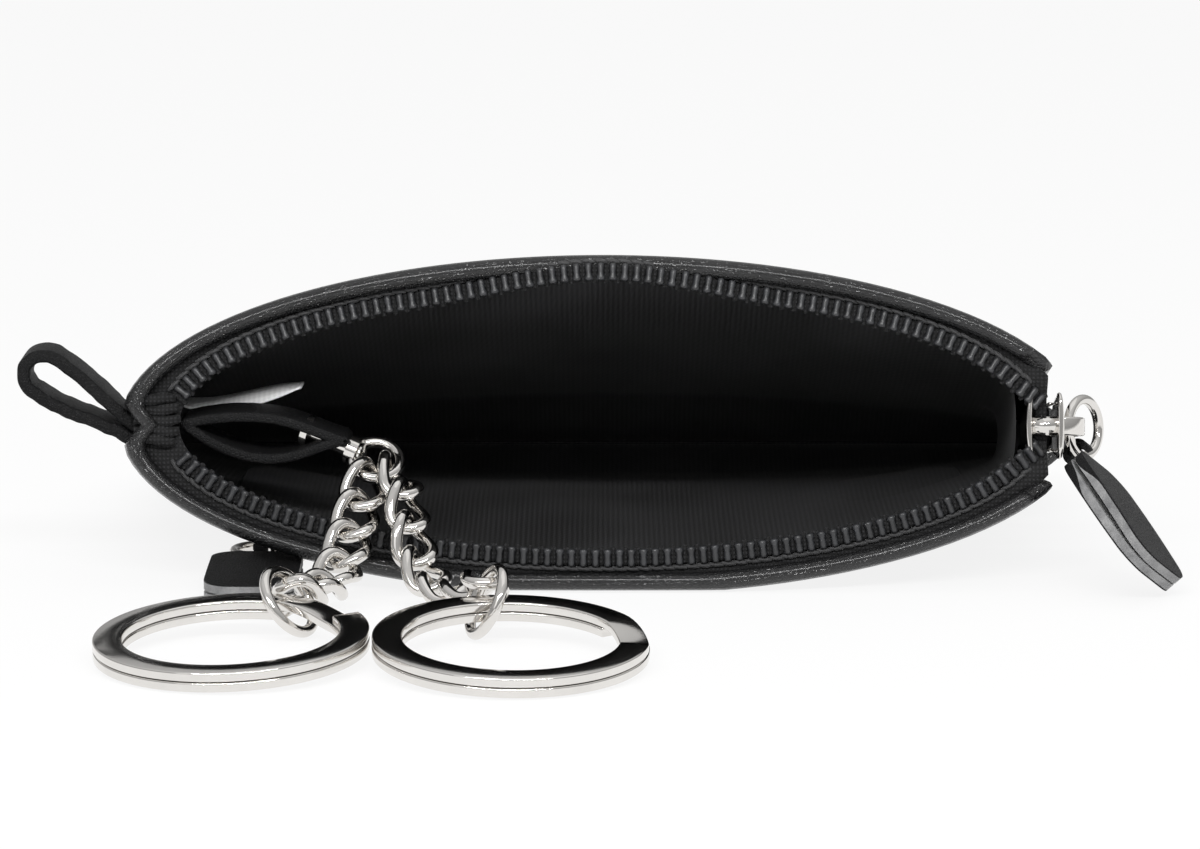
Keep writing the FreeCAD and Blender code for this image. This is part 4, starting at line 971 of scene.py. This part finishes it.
def sliderPiece(name, node, place, sizes):
    length, plate, sunk = slider["length"], slider["plate"], slider["sunk"]
    low, high = -slider["clearance"], sizes["sliderGap"] + slider["clearance"]
    parts = [sliderPlate(place, low - 0.5 * plate, -1.0),
             sliderPlate(place, high + 0.5 * plate, slider["upperCrown"])]
    post = []
    for y, half in slider["post"]:
        corners = ((low - sunk, -half), (high + sunk, -half), (high + sunk, half), (low - sunk, half))
        post += [place @ Vector((x, y, z)) for x, z in corners]
    parts.append(capped(post, len(slider["post"]), 4))
    for side in (1.0, -1.0):  # the folded rims that hold the teeth
        path = []
        for share in steps(slider["rimParts"]):
            y = length * (slider["rimFrom"] + (1 - slider["rimFrom"]) * share)
            path.append(place @ Vector((high - sunk, y, side * (slider["rear"] - slider["rimIn"]))))
        parts.append(tube(path, [slider["rim"]] * len(path), slider["rimSides"], place.to_3x3() @ east,
                          slider["rimFlat"]))
    centre = Vector((high + plate, 0.5 * length, 0))
    parts.append(sliderBow(place, centre, sizes["bow"] - 0.5 * slider["bowThick"]))
    dress(meshPiece(name, *joined(parts), [nickel]), "nickel", node, node)


sidePlace = placed(seamPoint(sideZip["sliderFrom"], 0.0, sideZip["x"]), east, along, rise)
sliderPiece("mouthSlider", "zip_slider", sidePlace, sideZip)
spot, down, backwards = pocketSpot(pocketBow)
right = backwards.cross(down)
pocketPlace = placed(spot - right * (0.5 * slider["length"]), down, right, down.cross(right))
sliderPiece("pocketSlider", "pocket_slider", pocketPlace, pocket)
print("sliders made")

tab = dict(way=(0.383, -0.763, -0.519), length=0.021, width=0.0106, layer=0.00112, slit=0.00018,
           belly=0.00022, corner=0.0032, shoulder=0.0026, edge=0.0004, skin=0.16, fold=0.03, sleeve=0.0052,
           taper=0.0045, rows=35, columns=13, tongueHalf=0.00085, tongueThick=0.0008, tongueEdge=0.00015,
           tongueRadius=0.00125, tongueFrom=75, tongueTurn=210, tongueParts=20, ringWire=0.0006, edgeFrom=40)
horn = dict(up=0.0021, down=0.0045, inner=0.00135, outerGap=0.0004, wobble=0.0002, corner=0.0014,
            lift=0.00055, thinner=0.0002, rows=12)


def leatherLayer(place, spans, lift, thick, belly):
    # one layer: spans are rows of (along, from, to); the outer face is skin, the rest is suede
    columns = tab["columns"]
    points = []
    for level in (0.0, thick):
        for reach, first, last in spans:
            bow = belly * sin(pi * min(max(reach / tab["length"], 0.0), 1.0))
            height = copysign(abs(lift) + level + bow, lift)
            points += [place @ Vector((reach, first + (last - first) * share, height))
                       for share in steps(columns - 1)]
    count = len(spans) * columns
    loop = border(len(spans), columns)
    for corner in loop:  # where skin gives way to suede on the edge, from a point at the sleeve
        bare = smooth((spans[corner // columns][0] - tab["sleeve"]) / tab["taper"])
        share = tab["fold"] + (1 - tab["fold"] - tab["skin"]) * bare
        points.append(points[corner].lerp(points[corner + count], share))
    faces = layerFaces(len(spans), columns)
    picks = [1] * (len(faces) // 2) + [0] * (len(faces) // 2)
    for index, corner in enumerate(loop):
        following = (index + 1) % len(loop)
        here, there = 2 * count + index, 2 * count + following
        faces.append((corner, loop[following], there, here))
        faces.append((here, there, count + loop[following], count + corner))
        picks += [1, 0]
    return points, faces, picks


def hornSpans(half):  # the shoulder that stands up beside the ring
    spans = []
    for step in range(horn["rows"] + 1):
        near = (horn["up"] + horn["down"]) * step / horn["rows"]
        inset = roundedOff(horn["corner"], horn["corner"] - near)
        outer = half - horn["outerGap"] - inset - horn["wobble"] * cos(step)
        spans.append((near - horn["up"], -horn["inner"] - inset, -outer))
    return spans


def tabTongue(place):  # the strip of leather round the ring
    parts, radius = tab["tongueParts"], tab["tongueRadius"]
    profile = roundedBox(tab["tongueThick"], 2 * tab["tongueHalf"], tab["tongueEdge"])
    points = []
    for share in steps(parts):
        angle = radians(tab["tongueFrom"] + tab["tongueTurn"] * share)
        spoke = Vector((cos(angle), 0, sin(angle)))
        points += [place @ (spoke * (radius + thick) + north * wide) for thick, wide in profile]
    return capped(points, parts + 1, len(profile))


def tabPiece(name, node, eye, way, cross, horned):
    place = placed(eye, way, cross, way.cross(cross))
    half, shoulder, length = 0.5 * tab["width"], tab["shoulder"], tab["length"]
    spans = []
    for share in steps(tab["rows"]):
        reach = shoulder + (length - shoulder) * (0.5 - 0.5 * cos(pi * share))
        near = min(reach - shoulder, length - reach)
        inset = roundedOff(tab["corner"], tab["corner"] - near)
        spans.append((reach, -half + inset, half - inset))
    parts = [leatherLayer(place, spans, side * 0.5 * tab["slit"], tab["layer"], tab["belly"])
             for side in (1, -1)]
    if horned:
        thick = tab["layer"] - horn["thinner"]
        parts.append(leatherLayer(place, hornSpans(half), horn["lift"], thick, 0.0))
    tongue = tabTongue(place)
    parts.append((*tongue, [0] * len(tongue[1])))
    picks = [pick for part in parts for pick in part[2]]
    piece = meshPiece(name, *joined([part[:2] for part in parts]), [strapLeather, suede], picks)
    bevelled(piece, tab["edge"], tab["edgeFrom"])
    dress(piece, "leather", node, node)


tabWay = Vector(tab["way"]).normalized()
tabSide = across(Vector(joints["pull_tab_lift"]["axis"]), tabWay)
tabPiece("pullTab", "pull_tab", jointSpot("pull_tab_lift"), tabWay, tabSide, True)
low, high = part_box("pocket_pull_ring")
pocketEye = (low + high) * 0.5
pocketEye.y = low.y + tab["ringWire"]
tabPiece("pocketTab", "pocket_pull_tab", pocketEye, north * -1.0, east, False)
print("pull tabs made")


cutEdge = dict(along=900, across=1500, sideways=0.8)  # how a hand-cut edge wanders


def strapSweep(name, node, path, sizes, closed=False):
    # a strip of leather along a path in an upright plane
    profile = roundedBox(sizes["thick"], sizes["width"], sizes["edge"], parts=2)
    points = []
    for spot, way in zip(path, headings(path, closed)):
        off = way.cross(north).normalized()
        for deep, wide in profile:
            cut = Vector((spot.x * cutEdge["along"] + sizes["seed"], wide * cutEdge["across"],
                          spot.z * cutEdge["along"]))
            wander = sizes["rough"] * noise.noise(cut)
            points.append(spot + off * (deep + wander) + north * (wide + cutEdge["sideways"] * wander))
    if closed:
        strap = points, gridFaces(len(path), len(profile), wrapRows=True, wrapColumns=True)
    else:
        strap = capped(points, len(path), len(profile))
    dress(meshPiece(name, *strap, [strapLeather]), "leather", node, node)


handLoop = dict(length=0.0092, radius=0.0031, thick=0.0015, width=0.0058, edge=0.0003,
                rise=radians(33), rootGap=0.0016, rootIn=0.0034, legSwell=1.1, rough=0.00016,
                seed=0.0, legParts=27, bendParts=12)


def handLoopPiece():
    root = jointSpot("hand_loop_lift")
    way = Vector((-cos(handLoop["rise"]), 0, sin(handLoop["rise"])))
    lift = Vector((sin(handLoop["rise"]), 0, cos(handLoop["rise"])))
    radius = handLoop["radius"] - 0.5 * handLoop["thick"]
    gap = 0.5 * handLoop["rootGap"]
    spots = []  # the upper half, as distances along and off the middle line
    for share in steps(handLoop["legParts"]):
        spots.append((handLoop["length"] * share - handLoop["rootIn"] * (1 - share),
                      gap + (radius - gap) * smooth(share * handLoop["legSwell"])))
    for share in steps(handLoop["bendParts"])[1:]:
        angle = 0.5 * pi * share
        spots.append((handLoop["length"] + radius * sin(angle), radius * cos(angle)))
    spots += [(reach, -height) for reach, height in reversed(spots[:-1])]
    path = [root + way * reach + lift * height for reach, height in spots]
    strapSweep("handLoop", "hand_loop", path, handLoop)


handLoopPiece()

keyStrap = dict(length=0.0187, over=0.0017, under=0.0031, thick=0.0012, width=0.0065, edge=0.0003,
                run=0.994, fall=0.11, tipClose=1.7, rough=0.00006, seed=4.0, parts=60)


def keyStrapPiece():
    low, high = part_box("key_strap")
    centre = (low + high) * 0.5
    way = Vector((keyStrap["run"], 0, -keyStrap["fall"])).normalized()
    lift = Vector((keyStrap["fall"], 0, keyStrap["run"])).normalized()
    path = []
    for angle in circle(keyStrap["parts"]):
        reach = cos(angle)
        swell = keyStrap["over"] if sin(angle) > 0 else -keyStrap["under"]
        height = swell * (1 - reach * reach) ** (keyStrap["tipClose"] if reach > 0 else 1.0)
        path.append(centre + way * (0.5 * keyStrap["length"] * reach) + lift * height)
    strapSweep("keyStrap", "key_strap", path, keyStrap, True)


keyStrapPiece()

label = dict(sheet=0.00022, front=0.00005, frontLeft=0.00085, leftPart=0.2, frontTip=0.00265, tipFrom=0.42,
             tipCurl=1.6, top=0.00046, topTip=0.00188, topFrom=0.15, turnShare=0.25, fall=0.0006,
             inset=0.0002, shorter=0.0008, rows=10, columns=30)


def labelHeight(place, share):  # how high the ribbon lies, along it and from front to back
    left = max(1 - place / label["leftPart"], 0.0) ** 2
    tip = (max(place - label["tipFrom"], 0.0) / (1 - label["tipFrom"])) ** label["tipCurl"]
    front = label["front"] + label["frontLeft"] * left + label["frontTip"] * tip
    top = label["top"] + label["topTip"] * smooth((place - label["topFrom"]) / (1 - label["topFrom"]))
    lift = 1 - max(1 - share / label["turnShare"], 0.0) ** 2
    return front + (top - front) * lift - label["fall"] * max(share - label["turnShare"], 0.0)


def labelPiece():
    low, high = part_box("care_label")
    size = high - low
    rows, columns = label["rows"], label["columns"]
    points = []
    for level in (0.0, label["sheet"]):
        for share in steps(rows):
            for place in steps(columns):
                points.append(Vector((low.x + (size.x - label["shorter"]) * place,
                                      low.y + label["inset"] + (size.y - label["shorter"]) * share,
                                      mouth.z + labelHeight(place, share) + level)))
    piece = meshPiece("careLabel", points, slabFaces(rows + 1, columns + 1), [ribbon])
    dress(piece, "label_cloth", "pouch", "care_label")


labelPiece()

pocketBag = dict(share=0.49, square=0.4, taper=0.35, above=0.0021, lift=0.0005, halfThick=0.0004,
                 rows=24, sides=48)


def pocketBagPiece():
    # a flat bag of lining cloth behind the pocket's zip
    low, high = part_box("pocket_bag")
    middle = (low + high) * 0.5
    reach = (high - low) * pocketBag["share"]
    points = []
    for share in steps(pocketBag["rows"]):
        tilt = pi * (share - 0.5)
        narrow = abs(cos(tilt)) ** pocketBag["taper"]
        height = pocketBag["lift"] + pocketBag["halfThick"] * sin(tilt)
        for turn in circle(pocketBag["sides"]):
            x = middle.x + reach.x * boxy(cos(turn), pocketBag["square"]) * narrow
            y = middle.y + reach.y * boxy(sin(turn), pocketBag["square"]) * narrow
            bottom = pocketCentre.z - sqrt((pocket["radius"] - pocketBag["above"]) ** 2 - x ** 2)
            points.append(Vector((x, y, bottom + height)))
    piece = meshPiece("pocketBag", *capped(points, pocketBag["rows"] + 1, pocketBag["sides"]), [satin])
    dress(piece, "lining_cloth", "pouch", "pocket_bag")


pocketBagPiece()
print("loop, strap, label and pocket bag made")

# the stage; sky: height of the view and brightness there

stage = dict(glow=0.86, floorTone=0.93, floorRough=0.9, floorShine=0.1, floorReach=6.0, floorZ=-0.0002,
             sky=((0.06, 1.0), (0.13, 0.3), (0.4, 0.42), (0.8, 0.62)))
lamps = dict(topLamp=dict(spot=(0.1, 0.05, 0.9), aim=(0, -0.01, 0.02), size=(0.9, 0.7), power=0.6),
             frontLamp=dict(spot=(-0.5, -0.9, 0.6), aim=(0, -0.02, 0.02), size=(0.6, 0.5), power=0.6),
             stripLamp=dict(spot=(0.0, -0.52, 0.42), aim=(0, -0.03, 0.02), size=(0.7, 0.02), power=3.2))
camera = dict(target=(-0.00035, -0.033, 0.0194), distance=0.6, elevation=radians(10.6), focal=157.5,
              sensor=36, near=0.01)


def setFloor():
    tone = Finish("paleFloor")
    tone.set(Base_Color=grey(stage["floorTone"]), Roughness=stage["floorRough"],
             Specular_IOR_Level=stage["floorShine"])
    unseen = 1.0  # one where no camera, mirror or glass looks at the floor
    for kind in ("Is Camera Ray", "Is Glossy Ray", "Is Transmission Ray"):
        unseen = (1 - tone.node("ShaderNodeLightPath", out=kind)) * unseen
    glow = tone.node("ShaderNodeEmission", {}, {"Color": (1, 1, 1, 1), "Strength": 1.0})
    paint = Shade(tone, tone.shader.outputs[0])
    blended = tone.node("ShaderNodeMixShader", {}, {0: (1 - unseen) * stage["glow"], 1: paint, 2: glow})
    tone.feed(tone.nodes["Material Output"].inputs[0], blended)
    reach = stage["floorReach"]
    mesh = bpy.data.meshes.new("floor")
    mesh.from_pydata([(-reach, -reach, 0), (reach, -reach, 0), (reach, reach, 0), (-reach, reach, 0)], [],
                     [(0, 1, 2, 3)])
    mesh.materials.append(tone.block)
    floor = linked(bpy.data.objects.new("floor", mesh))
    floor.location.z = stage["floorZ"]


def setSky():
    sky = Finish("studio", "worlds", "Background")
    way = sky.node("ShaderNodeTexCoord", out="Generated")
    sky.set(Color=sky.ramp(sky.node("ShaderNodeSeparateXYZ", {}, {0: way}, out="Z"), *stage["sky"]))
    bpy.context.scene.world = sky.block


def aimed(made, spot, way):  # places a lamp or camera so that it looks one way
    made.location = spot
    made.rotation_euler = way.to_track_quat("-Z", "Y").to_euler()


def setLamp(name, spot, aim, size, power):
    data = bpy.data.lights.new(name, "AREA")
    data.shape = "RECTANGLE"
    data.size, data.size_y = size
    data.energy = power
    aimed(linked(bpy.data.objects.new(name, data)), spot, Vector(aim) - Vector(spot))


def setCamera():
    lens = bpy.data.cameras.new("photoCamera")
    lens.lens = camera["focal"]
    lens.sensor_width = camera["sensor"]
    lens.clip_start = camera["near"]
    eye = linked(bpy.data.objects.new("photoCamera", lens))
    way = Vector((0, cos(camera["elevation"]), -sin(camera["elevation"])))
    aimed(eye, Vector(camera["target"]) - way * camera["distance"], way)
    bpy.context.scene.camera = eye


setFloor()
setSky()
for name, lamp in lamps.items():
    setLamp(name, **lamp)
setCamera()
bpy.context.scene.view_settings.view_transform = "Standard"
print("stage set")
